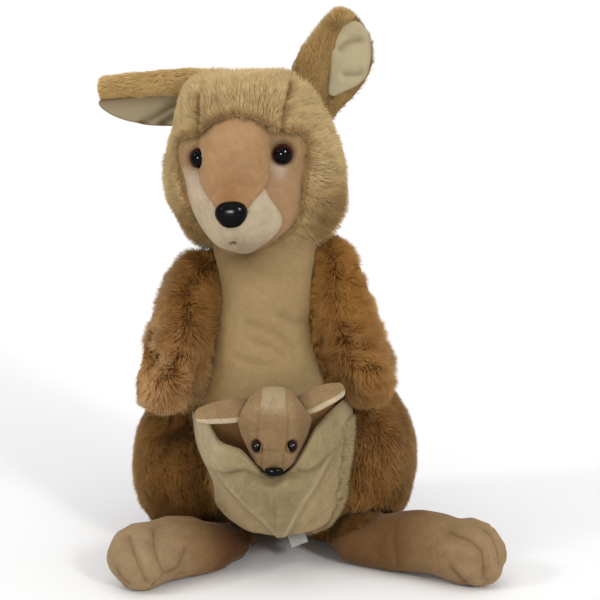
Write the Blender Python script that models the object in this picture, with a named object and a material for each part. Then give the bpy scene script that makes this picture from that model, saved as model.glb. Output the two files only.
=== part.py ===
"""Plush kangaroo toy, sitting upright with a small plush joey in its pouch.

Metres, +Z up.  The toy faces -Y, its own left side is at +X, and it rests on the floor at
Z = 0 on its rump, tail and feet.  Every sewn piece is one closed body, about 0.3 mm clear of
the pieces that it is sewn to.  Lengths in the tables below are millimetres.
"""

import math

import bmesh
import bpy
import numpy as np
from mathutils import Euler, Vector

MM = 0.001
GAP = 0.3               # clearance between two pieces that are sewn together
SHORT_EDGES = (0.05, 0.1, 0.15)     # edges along a cut that are shorter than these are merged
FLAT_ENOUGH = math.radians(1)

# ---------------------------------------------------------------- body
# height: half width, reach forward, reach backward
TRUNK = {0: (50, -6, 55), 3: (58, 10, 62), 10: (66, 31, 68), 24: (72, 52, 72), 45: (74, 59, 73),
         70: (72, 60, 68), 95: (66, 57, 61), 120: (58, 53, 54), 145: (51, 48, 48),
         165: (46, 43, 44), 182: (42, 38, 40), 200: (34, 30, 32)}
THIGHS = {"thigh_R": ((-51, -8, 52), (35.5, 50, 49)),        # centre, radii
          "thigh_L": ((54, -8, 55), (38, 50, 53))}

# ---------------------------------------------------------------- feet, along the floor
FOOT_LENGTHWISE = {0: 15.5, 0.3: 17, 0.65: 19.5, 0.85: 21.5, 1: 21.5}
FOOT_FLATNESS = 0.94                # height as a share of the width
FOOT_SINK = 0.9                     # how deep the round sole is pressed flat
FOOT_ENDS = {"foot_R": ((-22, -46), (-73, -87)), "foot_L": ((52, -42), (115, -79))}

# ---------------------------------------------------------------- tail, along the floor
TAIL_FROM, TAIL_TO = 40, 183
TAIL_RADII = {0: 37, 0.25: 32, 0.5: 25, 0.75: 18, 1: 13}

# ---------------------------------------------------------------- arms: path and radius
ARM_PATHS = {"arm_R": ((-39, -14, 184), (-47, -29, 158), (-55.5, -43, 127), (-66, -55, 91)),
             "arm_L": ((36, -14, 188), (42, -29, 161), (50, -43, 131), (62, -54, 96))}
ARM_RADII = {0: 13, 0.25: 18, 0.55: 21, 0.85: 20.5, 1: 18}

# ---------------------------------------------------------------- belly panel and pouch
# height: left edge and right edge, across the front
BELLY_EDGES = {20: (-8, 26), 26: (-20, 36), 34: (-30, 43), 45: (-34, 46), 62: (-37, 49),
               80: (-44, 50), 96: (-46, 48), 112: (-40, 38), 132: (-34, 27), 155: (-31, 25),
               175: (-33, 29), 192: (-34, 30)}
BELLY_THICKNESS = 5.5
POUCH_EDGES = {22: (-6, 23), 28: (-18, 34), 38: (-29, 42), 55: (-33, 45), 75: (-42, 48),
               92: (-45, 49)}
POUCH_RIM = {-45: 90, -32: 87, -20: 83, -9: 74, 3: 70, 14: 75, 25: 89, 37: 99, 49: 102}
POUCH_REACH = {0: 5, 0.2: 20, 0.5: 33, 0.8: 40, 1: 42}      # bottom to rim, clear of the belly
POUCH_WALL = 2.4

# ---------------------------------------------------------------- head
HEAD_CENTRE = (-9, -12, 238)
HEAD_TURN = Euler((0, math.radians(-4), math.radians(-10)))
HOOD = {-52: (36, 8, 28), -49: (42, 18, 35), -42: (48, 32, 43), -28: (53.5, 43, 51),
        -13: (56, 46, 54), 5: (53.5, 48, 53), 20: (48.5, 50, 50), 33: (42.5, 47, 44),
        44: (34.5, 39, 36), 51: (23, 25, 24)}
FACE_CENTRE_Z = -12
FACE_OUTLINE = {-90: 36, -72: 35, -56: 34, -39: 35, -24: 34.5, -8: 34.5, 11: 38, 25: 42, 36: 43.5,
                47: 42, 57: 36, 72: 36.5, 90: 37}       # angle from level: radius
FACE_EDGE = {-90: 33, -45: 30, 0: 30, 40: 31, 62: 38, 90: 43}      # angle from level: reach
FACE_BACK = 20
FACE_OPENING = ((1.02, 24), (1.07, 70))     # hood opening: share of the outline, reach
FACE_CHEEK, FACE_BRIDGE, FACE_MUZZLE = 40, 11, 12       # rise of each form
EYE_RADIUS = 6.1
EYE_PLACE = (23.2, -39.4, 5)
NOSE_PLACE = (0, -63, -22.5)
NOSE_RADII = (9.4, 6, 7.4)

# ---------------------------------------------------------------- ears, in the head's frame
# root, tip, direction that the lining faces, half width, the side of the rolled edge, and the
# share of that width along the ear
EAR_SHAPES = {"ear_R": ((-28, 12, 35), (-95, 6, 39), (-0.1, -1, -0.3), 17.5, 1,
                        {0: 1.0, 0.4: 1.0, 0.7: 0.92, 0.88: 0.7, 1: 0.35}),
              "ear_L": ((33, 13, 15), (62.5, 16, 86), (0.35, -1, 0.1), 25, -1,
                        {0: 0.66, 0.2: 0.86, 0.45: 1.0, 0.62: 0.92, 0.8: 0.6, 0.92: 0.32,
                         1: 0.14})}
EAR_CUP, EAR_THICKNESS, EAR_ROLL = 6, 6.5, 5.5
LINING_SHARE, LINING_ASIDE, LINING_THICKNESS = 0.66, 0.22, 3.2

# ---------------------------------------------------------------- joey
JOEY_CENTRE = (3.6, -86, 96)
JOEY_HEAD = {-24: (6, 16, -4), -21: (10.5, 22, 2), -16.5: (13.5, 24, 8), -10.5: (16.5, 21, 13),
             -4: (19.3, 18, 16), 6: (20.8, 16, 18), 14: (18, 13.5, 16), 19: (12.5, 9, 11),
             21: (8, 5, 6)}
JOEY_BODY_CENTRE = (3.6, -80, 58)
JOEY_BODY_RADII = (16, 11, 18)
JOEY_EYE_RADIUS = 3.0
JOEY_EYE = (10, -14.6, -8)
JOEY_NOSE = (0, -24.6, -19.6)
JOEY_NOSE_RADII = (5.5, 3, 3.1)
JOEY_EAR_PROFILE = {0: 0.8, 0.3: 1.0, 0.6: 0.92, 0.85: 0.6, 1: 0.2}
JOEY_EARS = {"joey_ear_R": ((-12, 3, 10), (-46, 0, 7), (0.1, 0.85, -0.6), 7.8, -1,
                            JOEY_EAR_PROFILE),
             "joey_ear_L": ((13, 3, 11), (42, 0, 24), (0.3, 0.85, -0.6), 7.8, 1,
                            JOEY_EAR_PROFILE)}
JOEY_EAR_CUP, JOEY_EAR_THICKNESS, JOEY_EAR_ROLL = 2, 4, 1

TAG_SIZE = (12, 0.8, 11)
TAG_PLACE = (16, -44, 12.5)
TAG_TILT = Euler((math.radians(-12), math.radians(-8), math.radians(10)))

# ---------------------------------------------------------------- finishes: colour, roughness
FUR_BROWN = ("fur_brown", (0.26, 0.15, 0.07), 0.95)
FUR_TAN = ("fur_tan", (0.45, 0.32, 0.17), 0.95)
VELOUR_TAN = ("velour_tan", (0.42, 0.26, 0.14), 0.9)
VELOUR_CREAM = ("velour_cream", (0.52, 0.42, 0.27), 0.9)
PLASTIC_BLACK = ("plastic_black", (0.01, 0.01, 0.012), 0.12)
RIBBON_WHITE = ("ribbon_white", (0.6, 0.57, 0.52), 0.7)


def clear_scene():
    """Remove every object that the file opened with."""
    for item in list(bpy.data.objects):
        bpy.data.objects.remove(item, do_unlink=True)


def finish_material(finish):
    """Return the material of a finish, made once."""
    name, colour, roughness = finish
    material = bpy.data.materials.get(name)
    if material is None:
        material = bpy.data.materials.new(name)
        material.use_nodes = True
        shader = material.node_tree.nodes["Principled BSDF"]
        shader.inputs["Base Color"].default_value = (*colour, 1)
        shader.inputs["Roughness"].default_value = roughness
        shader.inputs["Metallic"].default_value = 0
        material.diffuse_color = (*colour, 1)
    return material


def smooth(knots, at):
    """Read a smooth curve through a table of knots, held level beyond its ends."""
    places = np.array(sorted(knots), dtype=float)
    values = np.array([np.atleast_1d(knots[key]) for key in sorted(knots)], dtype=float)
    slopes = np.gradient(values, places, axis=0)
    at = min(max(at, places[0]), places[-1])
    i = min(int(np.searchsorted(places, at, side="right")) - 1, len(places) - 2)
    step = places[i + 1] - places[i]
    u = (at - places[i]) / step
    result = ((1 + 2 * u) * (1 - u) ** 2 * values[i] + u * u * (3 - 2 * u) * values[i + 1]
              + step * u * (1 - u) ** 2 * slopes[i] - step * u * u * (1 - u) * slopes[i + 1])
    return result if len(result) > 1 else float(result[0])


def rounded_steps(count):
    """Return shares from 0 to 1 that lie closer together at both ends."""
    return [(1 - math.cos(math.pi * i / count)) / 2 for i in range(count + 1)]


def new_object(name, mesh_data, finish, parent):
    """Link one closed mesh as a named piece."""
    for polygon in mesh_data.polygons:
        polygon.use_smooth = True
    mesh_data.materials.append(finish_material(finish))
    piece = bpy.data.objects.new(name, mesh_data)
    piece.parent = parent
    bpy.context.scene.collection.objects.link(piece)
    return piece


def loft(name, rings, finish, parent):
    """Skin a row of rings, each a list of points in millimetres, and close both ends."""
    bm = bmesh.new()
    rows = [[bm.verts.new(Vector(point) * MM) for point in ring] for ring in rings]
    count = len(rows[0])
    for lower, upper in zip(rows, rows[1:]):
        for i in range(count):
            j = (i + 1) % count
            bm.faces.new((lower[i], lower[j], upper[j], upper[i]))
    for row in (rows[0], rows[-1]):
        bm.faces.new(row)
    bmesh.ops.recalc_face_normals(bm, faces=bm.faces)
    bmesh.ops.triangulate(bm, faces=bm.faces)
    mesh_data = bpy.data.meshes.new(name)
    bm.to_mesh(mesh_data)
    bm.free()
    return new_object(name, mesh_data, finish, parent)


def upright_ring(height, half_width, front, back, segments, power=2.0, centre=(0, 0)):
    """Return a level ring that reaches a different distance forward and backward."""
    ring = []
    for i in range(segments):
        angle = 2 * math.pi * i / segments
        c, s = math.cos(angle), math.sin(angle)
        x = math.copysign(abs(c) ** (2 / power), c) * half_width
        y = math.copysign(abs(s) ** (2 / power), s) * (back if s > 0 else front)
        ring.append((centre[0] + x, centre[1] + y, height))
    return ring


def upright_body(name, table, finish, parent, segments, levels, power=2.0, centre=(0, 0, 0)):
    """Loft a body from a table of level sections."""
    low, high = min(table), max(table)
    rings = []
    for share in rounded_steps(levels):
        z = low + (high - low) * share
        half_width, front, back = smooth(table, z)
        rings.append(upright_ring(z + centre[2], half_width, front, back, segments, power,
                                  centre[:2]))
    return loft(name, rings, finish, parent)


def sausage(name, path, radii, finish, parent, segments, levels, flatness=1.0, floor=None):
    """Loft a round-ended body along a smooth path, pressed flat where it meets the floor."""
    knots = {i / (len(path) - 1): point for i, point in enumerate(path)}
    fine = [Vector(smooth(knots, i / 200)) for i in range(201)]
    lengths = np.cumsum([0] + [(b - a).length for a, b in zip(fine, fine[1:])])
    rings = []
    for share in rounded_steps(levels):
        distance = share * lengths[-1]
        point = Vector([float(np.interp(distance, lengths, [p[k] for p in fine]))
                        for k in range(3)])
        before, after = (Vector(smooth(knots, share + side)) for side in (-0.02, 0.02))
        ahead = (after - before).normalized()
        radius = smooth(radii, share)
        to_end = min(distance, lengths[-1] - distance)
        cap = max(0.0, 1 - to_end / radius)
        radius = max(radius * math.sqrt(max(0.0, 1 - cap * cap)), 0.25 * radius)
        across = ahead.cross(Vector((0, 0, 1))).normalized()
        rise = across.cross(ahead)
        ring = []
        for i in range(segments):
            angle = 2 * math.pi * (i + 0.5) / segments
            spot = (point + across * radius * math.cos(angle)
                    + rise * radius * flatness * math.sin(angle))
            if floor is not None:
                spot.z = max(spot.z, floor)
            ring.append(spot)
        rings.append(ring)
    return loft(name, rings, finish, parent)


def ball(name, centre, radii, finish, parent, segments, levels):
    """Make an egg-shaped body with its poles at the top and the bottom."""
    bm = bmesh.new()
    bmesh.ops.create_uvsphere(bm, u_segments=segments, v_segments=levels, radius=MM)
    bmesh.ops.scale(bm, verts=bm.verts, vec=radii)
    bmesh.ops.translate(bm, verts=bm.verts, vec=Vector(centre) * MM)
    bmesh.ops.triangulate(bm, faces=bm.faces)
    mesh_data = bpy.data.meshes.new(name)
    bm.to_mesh(mesh_data)
    bm.free()
    return new_object(name, mesh_data, finish, parent)


def trunk_front(x, z):
    """Return how far forward the trunk reaches at a place on its front."""
    half_width, front, _ = smooth(TRUNK, z)
    return -front * math.sqrt(max(0.02, 1 - (x / half_width) ** 2))


def make_body(parent):
    """Make the trunk, the thighs and the tail."""
    trunk = upright_body("trunk", TRUNK, FUR_BROWN, parent, 22, 12)
    pieces = {"trunk": trunk}
    for name, (centre, radii) in THIGHS.items():
        pieces[name] = ball(name, centre, radii, FUR_BROWN, parent, 16, 9)
    path = [(0, TAIL_FROM + (TAIL_TO - TAIL_FROM) * share, smooth(TAIL_RADII, share) - FOOT_SINK)
            for share in (0, 0.33, 0.66, 1)]
    pieces["tail"] = sausage("tail", path, TAIL_RADII, FUR_BROWN, parent, 16, 9, floor=0)
    return pieces


def make_feet(parent):
    """Make both feet, each a stuffed sausage that widens towards the toes."""
    pieces = {}
    for name, (heel, toe) in FOOT_ENDS.items():
        run = (Vector(toe) - Vector(heel)).normalized()
        start = Vector(heel) - run * smooth(FOOT_LENGTHWISE, 0)
        end = Vector(toe) + run * smooth(FOOT_LENGTHWISE, 1)
        path = []
        for share in (0, 0.33, 0.66, 1):
            spot = start.lerp(end, share)
            height = smooth(FOOT_LENGTHWISE, share) * FOOT_FLATNESS - FOOT_SINK
            path.append((spot.x, spot.y, height))
        pieces[name] = sausage(name, path, FOOT_LENGTHWISE, VELOUR_TAN, parent, 15, 10,
                               FOOT_FLATNESS, floor=0)
    return pieces


def make_arms(parent):
    """Make both arms, hanging from the shoulders to the front of the hips."""
    return {name: sausage(name, path, ARM_RADII, FUR_BROWN, parent, 13, 10)
            for name, path in ARM_PATHS.items()}


def front_sheet(name, edges, low_curve, high_curve, surface, wall, finish, parent, columns, rows):
    """Make a closed sheet over the front: surface(x, z, share) is its outer face's depth."""
    rings = []
    for i in range(columns + 1):
        across = i / columns
        outer, inner = [], []
        for j in range(rows + 1):
            share = j / rows
            x, z = 0.0, 0.0
            for _ in range(4):
                z = low_curve(x) + (high_curve(x) - low_curve(x)) * share
                left, right = smooth(edges, z)
                x = left + (right - left) * across
            depth = surface(x, z, share, across)
            outer.append((x, depth, z))
            inner.append((x, depth + wall, z))
        rings.append(outer + inner[::-1])
    return loft(name, rings, finish, parent)


def make_front(parent):
    """Make the cream belly panel and the pouch flap sewn over it."""
    low, high = min(BELLY_EDGES), max(BELLY_EDGES)

    def belly_depth(x, z, _share, across):
        edge = 1 - abs(2 * across - 1) ** 6
        return trunk_front(x, z) - BELLY_THICKNESS * (0.35 + 0.65 * edge)

    belly = front_sheet("belly_panel", BELLY_EDGES, lambda x: low, lambda x: high, belly_depth,
                        BELLY_THICKNESS + 4, VELOUR_CREAM, parent, 8, 11)

    def pouch_depth(x, z, share, across):
        round_out = max(0.0, 1 - abs(2 * across - 1) ** 2.4)
        return trunk_front(x, z) - BELLY_THICKNESS - 1 - smooth(POUCH_REACH, share) * round_out

    pouch = front_sheet("pouch", POUCH_EDGES, lambda x: min(POUCH_EDGES),
                        lambda x: smooth(POUCH_RIM, x), pouch_depth, POUCH_WALL, VELOUR_CREAM,
                        parent, 14, 7)
    return {"belly_panel": belly, "pouch": pouch}


def face_reach(x, z, share):
    """Return how far forward the face stands at a place, share of the way to its outline."""
    edge = smooth(FACE_EDGE, math.degrees(math.atan2(z - FACE_CENTRE_Z, abs(x))))
    bridge_width = np.interp(z, (-22, 0), (12, 20))
    bridge = 1 / (1 + (abs(x) / bridge_width) ** 6)
    muzzle = math.exp(-((x / 21) ** 2 + ((z + 27) / 20) ** 2) ** 1.3)
    middle = FACE_CHEEK + FACE_BRIDGE * bridge + FACE_MUZZLE * muzzle
    return edge + (middle - edge) * math.sqrt(1 - share ** 4)


def face_outline(share, segments=28):
    """Return the face's outline at a share of its size, as places across and up."""
    outline = []
    for i in range(segments):
        angle = 2 * math.pi * i / segments
        level = math.degrees(math.atan2(math.sin(angle), abs(math.cos(angle))))
        radius = smooth(FACE_OUTLINE, level) * share
        outline.append((radius * math.cos(angle), FACE_CENTRE_Z + radius * math.sin(angle)))
    return outline


def make_face(parent):
    """Make the short-pile face as a dome over its outline, with the muzzle pushed forward."""
    rings = [[(x, -face_reach(x, z, share), z) for x, z in face_outline(share)]
             for share in (0.14, 0.34, 0.52, 0.68, 0.81, 0.91, 0.975, 1.0)]
    rings.append([(x, -FACE_BACK, z) for x, z in face_outline(0.9)])
    return loft("face", rings, VELOUR_TAN, parent)


def make_face_opening(parent):
    """Make the cutter that opens the hood in front of the face, a little wider outside."""
    rings = [[(x, -reach, z) for x, z in face_outline(share)]
             for share, reach in FACE_OPENING]
    cutter = loft("face_opening", rings, VELOUR_TAN, parent)
    cutter.hide_render = True
    cutter.display_type = "WIRE"
    return cutter


def leaf(name, root, tip, facing, half_width, rolled, profile, cup, thickness, roll, finish,
         parent, columns=7, rows=7, share=1.0, aside=0.0, lift=0.0):
    """Make a cupped leaf-shaped ear, rounded at the tip, with one long edge rolled thick.

    A lining is the same leaf at a smaller share of the size, moved aside from the rolled edge
    and lifted to the face of the ear.
    """
    root, tip = Vector(root), Vector(tip)
    axis = (tip - root).normalized()
    across = axis.cross(Vector(facing)).normalized()
    normal = across.cross(axis).normalized()
    rings = []
    for step in rounded_steps(rows):
        along = 0.5 + (step - 0.5) * (1 - 0.45 * (1 - share) * 2)
        width = smooth(profile, step) * share
        middle = root + (tip - root) * along
        front, back = [], []
        for i in range(columns + 1):
            c = 2 * i / columns - 1
            spread = c * width - rolled * aside
            hollow = cup * width * (1 - spread * spread)
            round_off = math.sqrt(max(0.04, 1 - c * c)) * (0.35 + 0.65 * width)
            bulge = roll * round_off * smooth({-0.2: 0, 0.5: 1}, spread * rolled)
            centre = middle + across * half_width * spread + normal * (lift - hollow)
            front.append(centre + normal * (thickness / 2 * round_off + bulge))
            back.append(centre - normal * thickness / 2 * round_off)
        rings.append(front + back[::-1])
    return loft(name, rings, finish, parent)


def make_head(parent):
    """Make the hood of long fur, the face, the eyes, the nose and the ears."""
    pieces = {"hood": upright_body("hood", HOOD, FUR_TAN, parent, 22, 11, power=2.25),
              "face": make_face(parent),
              "nose": ball("nose", NOSE_PLACE, NOSE_RADII, PLASTIC_BLACK, parent, 14, 8)}
    for side, sign in (("R", -1), ("L", 1)):
        x, y, z = EYE_PLACE
        pieces["eye_" + side] = ball("eye_" + side, (sign * x, y, z), (EYE_RADIUS,) * 3,
                                     PLASTIC_BLACK, parent, 10, 7)
    for name, shape in EAR_SHAPES.items():
        pieces[name] = leaf(name, *shape, EAR_CUP, EAR_THICKNESS, EAR_ROLL, FUR_TAN, parent)
        lining = name.replace("ear", "ear_lining")
        pieces[lining] = leaf(lining, *shape, EAR_CUP, LINING_THICKNESS, 0, VELOUR_CREAM, parent,
                              columns=5, rows=6, share=LINING_SHARE, aside=LINING_ASIDE,
                              lift=EAR_THICKNESS / 2 - 0.4)
    return pieces


def make_joey(parent):
    """Make the joey that is sewn into the pouch: head, ears, body, eyes and nose."""
    cx, cy, cz = JOEY_CENTRE
    pieces = {"joey_head": upright_body("joey_head", JOEY_HEAD, VELOUR_TAN, parent, 16, 9,
                                        centre=JOEY_CENTRE),
              "joey_body": ball("joey_body", JOEY_BODY_CENTRE, JOEY_BODY_RADII, VELOUR_TAN,
                                parent, 12, 8),
              "joey_nose": ball("joey_nose", (cx + JOEY_NOSE[0], cy + JOEY_NOSE[1], cz + JOEY_NOSE[2]),
                                JOEY_NOSE_RADII, PLASTIC_BLACK, parent, 10, 6)}
    for side, sign in (("R", -1), ("L", 1)):
        x, y, z = JOEY_EYE
        pieces["joey_eye_" + side] = ball("joey_eye_" + side, (cx + sign * x, cy + y, cz + z),
                                          (JOEY_EYE_RADIUS,) * 3, PLASTIC_BLACK, parent, 8, 5)
    for name, (root, tip, *shape) in JOEY_EARS.items():
        root = Vector(root) + Vector(JOEY_CENTRE)
        tip = Vector(tip) + Vector(JOEY_CENTRE)
        pieces[name] = leaf(name, root, tip, *shape, JOEY_EAR_CUP, JOEY_EAR_THICKNESS,
                            JOEY_EAR_ROLL, VELOUR_TAN, parent, columns=5, rows=6)
    return pieces


def make_tag(parent):
    """Make the blank care tag sewn in under the pouch."""
    bm = bmesh.new()
    bmesh.ops.create_cube(bm, size=MM)
    bmesh.ops.scale(bm, verts=bm.verts, vec=TAG_SIZE)
    mesh_data = bpy.data.meshes.new("tag")
    bm.to_mesh(mesh_data)
    bm.free()
    tag = new_object("tag", mesh_data, RIBBON_WHITE, parent)
    tag.location = Vector(TAG_PLACE) * MM
    tag.rotation_euler = TAG_TILT
    return {"tag": tag}


def world_box(piece):
    """Return a piece's lowest and highest corners in the world."""
    corners = np.array([piece.matrix_world @ vertex.co for vertex in piece.data.vertices])
    return corners.min(axis=0), corners.max(axis=0)


def boxes_meet(first, second):
    """Tell whether two pieces' boxes overlap, with a little room."""
    room = 2 * GAP * MM
    return all(first[0][k] < second[1][k] + room and second[0][k] < first[1][k] + room
               for k in range(3))


def swollen_copy(piece):
    """Return a hidden copy of a piece, larger all round by the gap between pieces."""
    bm = bmesh.new()
    bm.from_mesh(piece.data)
    bm.normal_update()
    moves = [vertex.normal * GAP * MM for vertex in bm.verts]
    for vertex, move in zip(bm.verts, moves):
        vertex.co += move
    mesh_data = bpy.data.meshes.new(piece.name + "_cutter")
    bm.to_mesh(mesh_data)
    bm.free()
    cutter = bpy.data.objects.new(piece.name + "_cutter", mesh_data)
    cutter.parent = piece.parent
    cutter.matrix_local = piece.matrix_local
    cutter.hide_render = True
    cutter.display_type = "WIRE"
    bpy.context.scene.collection.objects.link(cutter)
    return cutter


def clean_body(mesh_data):
    """Delete what a cut leaves beside a piece's main body: loose crumbs, and short edges.

    The short edges stay where merging them would open the body.
    """
    bm = bmesh.new()
    bm.from_mesh(mesh_data)
    unseen = set(bm.verts)
    bodies = []
    while unseen:
        reached, waiting = set(), [next(iter(unseen))]
        while waiting:
            vertex = waiting.pop()
            if vertex not in reached:
                reached.add(vertex)
                waiting.extend(edge.other_vert(vertex) for edge in vertex.link_edges)
        unseen -= reached
        bodies.append(reached)
    main = max(bodies, key=len)
    bmesh.ops.delete(bm, geom=[v for v in bm.verts if v not in main], context="VERTS")
    bmesh.ops.triangulate(bm, faces=bm.faces)
    bmesh.ops.dissolve_limit(bm, angle_limit=FLAT_ENOUGH, verts=bm.verts, edges=bm.edges)
    bmesh.ops.triangulate(bm, faces=bm.faces)
    for short_edge in SHORT_EDGES:
        if all(edge.is_manifold for edge in bm.edges):
            bm.to_mesh(mesh_data)
            bmesh.ops.dissolve_degenerate(bm, dist=short_edge * MM, edges=bm.edges)
            bmesh.ops.triangulate(bm, faces=bm.faces)
    bm.free()


def cut_from(piece, cutter):
    """Cut one shape out of a piece."""
    cut = piece.modifiers.new(cutter.name, "BOOLEAN")
    cut.operation = "DIFFERENCE"
    cut.solver = "EXACT"
    cut.object = cutter


def fit_together(pieces, order, openings):
    """Cut each piece back where a piece named before it in the order stands."""
    bpy.context.view_layer.update()
    boxes = {name: world_box(pieces[name]) for name in order}
    cutters = {name: swollen_copy(pieces[name]) for name in order}
    for name, opening in openings.items():
        cut_from(pieces[name], opening)
    for rank, name in enumerate(order):
        for other in order[:rank]:
            if boxes_meet(boxes[name], boxes[other]):
                cut_from(pieces[name], cutters[other])
    bpy.context.view_layer.update()
    graph = bpy.context.evaluated_depsgraph_get()
    fitted = {name: bpy.data.meshes.new_from_object(pieces[name].evaluated_get(graph))
              for name in order}
    for name, mesh_data in fitted.items():
        pieces[name].modifiers.clear()
        clean_body(mesh_data)
        pieces[name].data = mesh_data
        mesh_data.name = name
    for cutter in (*cutters.values(), *openings.values()):
        bpy.data.objects.remove(cutter, do_unlink=True)


def main():
    """Build the whole toy and set its origin under the middle of its box."""
    clear_scene()
    toy = bpy.data.objects.new("toy", None)
    head = bpy.data.objects.new("head", None)
    for empty in (toy, head):
        bpy.context.scene.collection.objects.link(empty)
    head.parent = toy
    head.location = Vector(HEAD_CENTRE) * MM
    head.rotation_euler = HEAD_TURN
    pieces = {**make_head(head), **make_joey(toy), **make_front(toy), **make_arms(toy),
              **make_feet(toy), **make_body(toy), **make_tag(toy)}
    order = ["eye_R", "eye_L", "nose", "face", "ear_lining_R", "ear_lining_L", "ear_R", "ear_L",
             "hood", "arm_R", "arm_L", "joey_eye_R", "joey_eye_L", "joey_nose", "joey_ear_R",
             "joey_ear_L", "joey_head", "joey_body", "belly_panel", "pouch", "foot_R", "foot_L",
             "thigh_R", "thigh_L", "trunk", "tail", "tag"]
    fit_together(pieces, order, {"hood": make_face_opening(head)})
    bpy.context.view_layer.update()
    boxes = [world_box(piece) for piece in pieces.values()]
    low = np.min([box[0] for box in boxes], axis=0)
    high = np.max([box[1] for box in boxes], axis=0)
    toy.location = (-(low[0] + high[0]) / 2, -(low[1] + high[1]) / 2, -low[2])
    bpy.context.view_layer.update()


main()
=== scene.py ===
"""A plush kangaroo toy with a joey in its pouch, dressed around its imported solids.

Lengths in the tables are millimetres on the toy's own grid, whose origin is on the floor under
the body.  Finished meshes are in metres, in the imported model's frame.
"""
from __future__ import annotations

import logging
import math
from collections.abc import Callable, Sequence
from dataclasses import dataclass, field
from enum import Enum

import bmesh
import bpy
import numpy as np
from mathutils import Euler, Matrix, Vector
from mathutils.bvhtree import BVHTree
from mathutils.kdtree import KDTree


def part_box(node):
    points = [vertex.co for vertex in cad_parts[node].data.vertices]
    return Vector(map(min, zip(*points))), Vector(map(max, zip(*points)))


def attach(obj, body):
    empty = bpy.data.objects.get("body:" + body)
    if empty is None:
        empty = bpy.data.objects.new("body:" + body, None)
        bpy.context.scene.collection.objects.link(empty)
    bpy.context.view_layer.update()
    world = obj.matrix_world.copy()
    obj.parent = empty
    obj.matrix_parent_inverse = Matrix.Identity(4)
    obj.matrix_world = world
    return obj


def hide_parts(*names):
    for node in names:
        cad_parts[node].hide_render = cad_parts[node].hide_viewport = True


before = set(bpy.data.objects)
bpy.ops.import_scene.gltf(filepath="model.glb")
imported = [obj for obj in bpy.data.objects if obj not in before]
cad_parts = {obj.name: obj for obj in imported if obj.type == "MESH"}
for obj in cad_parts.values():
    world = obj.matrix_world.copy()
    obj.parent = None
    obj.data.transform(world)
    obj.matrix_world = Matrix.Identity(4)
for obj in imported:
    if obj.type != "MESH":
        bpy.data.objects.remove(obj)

MM = 0.001
log = logging.getLogger("plush_kangaroo")
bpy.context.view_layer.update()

Array = np.ndarray
Piece = bpy.types.Object
Socket = bpy.types.NodeSocket
Colour = Point = tuple[float, float, float]
Line = tuple[Point, ...]
FlatLine = tuple[tuple[float, float], ...]
Bump = tuple[Point, float, float]  # its middle, its radius and its height
Table = dict[float, float]  # places along a curve and its values there
Edges = tuple[Table, Table]
Amount = Callable[[Array], Array]  # how much of something there is at some places
Lie = Callable[[Array, Array], Array]  # which way the pile lies at places, by their normals


class Side(Enum):
    """The toy's own right or left, with the sign of its direction across."""

    RIGHT = -1
    LEFT = 1

    @property
    def letter(self) -> str:
        """Return the letter that ends the names of this side's pieces."""
        return "R" if self is Side.RIGHT else "L"


# ------------------------------------------------------------------ numbers and curves
def unit(vectors: Array) -> Array:
    """Return vectors at a length of one."""
    return vectors / np.maximum(np.linalg.norm(vectors, axis=-1, keepdims=True), 1e-12)


def ease(values: Array, low: float, high: float) -> Array:
    """Return 0 below low, 1 above high and a smooth step between them."""
    t = np.clip((np.asarray(values) - low) / (high - low), 0, 1)
    return t * t * (3 - 2 * t)


def smooth_curve(knots: Table, at: Array) -> Array:
    """Read a smooth curve through a table of knots, held level beyond its ends.

    Args:
        knots: place along the curve to its value there.
        at: places to read it at.

    Returns:
        The curve's values at those places.
    """
    places = np.array(sorted(knots), dtype=float)
    values = np.array([knots[key] for key in sorted(knots)], dtype=float)
    slopes = np.gradient(values, places)
    at = np.clip(np.asarray(at, dtype=float), places[0], places[-1])
    i = np.clip(np.searchsorted(places, at, side="right") - 1, 0, len(places) - 2)
    step = places[i + 1] - places[i]
    u = (at - places[i]) / step
    return ((1 + 2 * u) * (1 - u) ** 2 * values[i] + u * u * (3 - 2 * u) * values[i + 1]
            + step * u * (1 - u) ** 2 * slopes[i] - step * u * u * (1 - u) * slopes[i + 1])


def table(knots: dict) -> dict:
    """Return a dataclass default that is a table."""
    return field(default_factory=lambda: dict(knots))


def fall(distance: Array, width: float) -> Array:
    """Return 1 at no distance, falling off smoothly over a width."""
    return np.exp(-(distance / width) ** 2)


def filled_out(rise: Array, places: Array, bumps: Sequence[Bump]) -> Array:
    """Return a rise with some soft bumps added to it.

    Args:
        rise: height at each place.
        places: where the heights are.
        bumps: the soft bumps.
    """
    for middle, radius, height in bumps:
        away = ((places - np.array(middle)) ** 2).sum(axis=1)
        rise = rise + height * np.exp(-away / radius ** 2)
    return rise


def first_in_cells(places: Array, cell: float) -> Array:
    """Return the position of the first place in every cubic cell of a size."""
    keys = np.floor(places / cell).astype(np.int64) @ np.array([73856093, 19349663, 83492791])
    return np.unique(keys, return_index=True)[1]


def distance_to_line(points: Array, line: Sequence[Sequence[float]]) -> Array:
    """Return each point's distance to the nearest stretch of an open line of straight runs.

    Args:
        points: places to measure from.
        line: the line's corners.
    """
    nearest = np.full(len(points), np.inf)
    corners = np.asarray(line, dtype=float)
    for start, end in zip(corners, corners[1:]):
        run = end - start
        t = np.clip((points - start) @ run / max(run @ run, 1e-12), 0, 1)
        nearest = np.minimum(nearest, np.linalg.norm(points - start - t[:, None] * run, axis=1))
    return nearest


def rounded(line: Sequence[Sequence[float]], steps: int = 28) -> Array:
    """Return an open line through the same corners with its bends smoothed."""
    corners = np.asarray(line, dtype=float)
    far = np.concatenate([[0], np.cumsum(np.linalg.norm(np.diff(corners, axis=0), axis=1))])
    at = np.linspace(0, far[-1], steps)
    return np.stack([smooth_curve(dict(zip(far, column)), at) for column in corners.T], axis=1)


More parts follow.
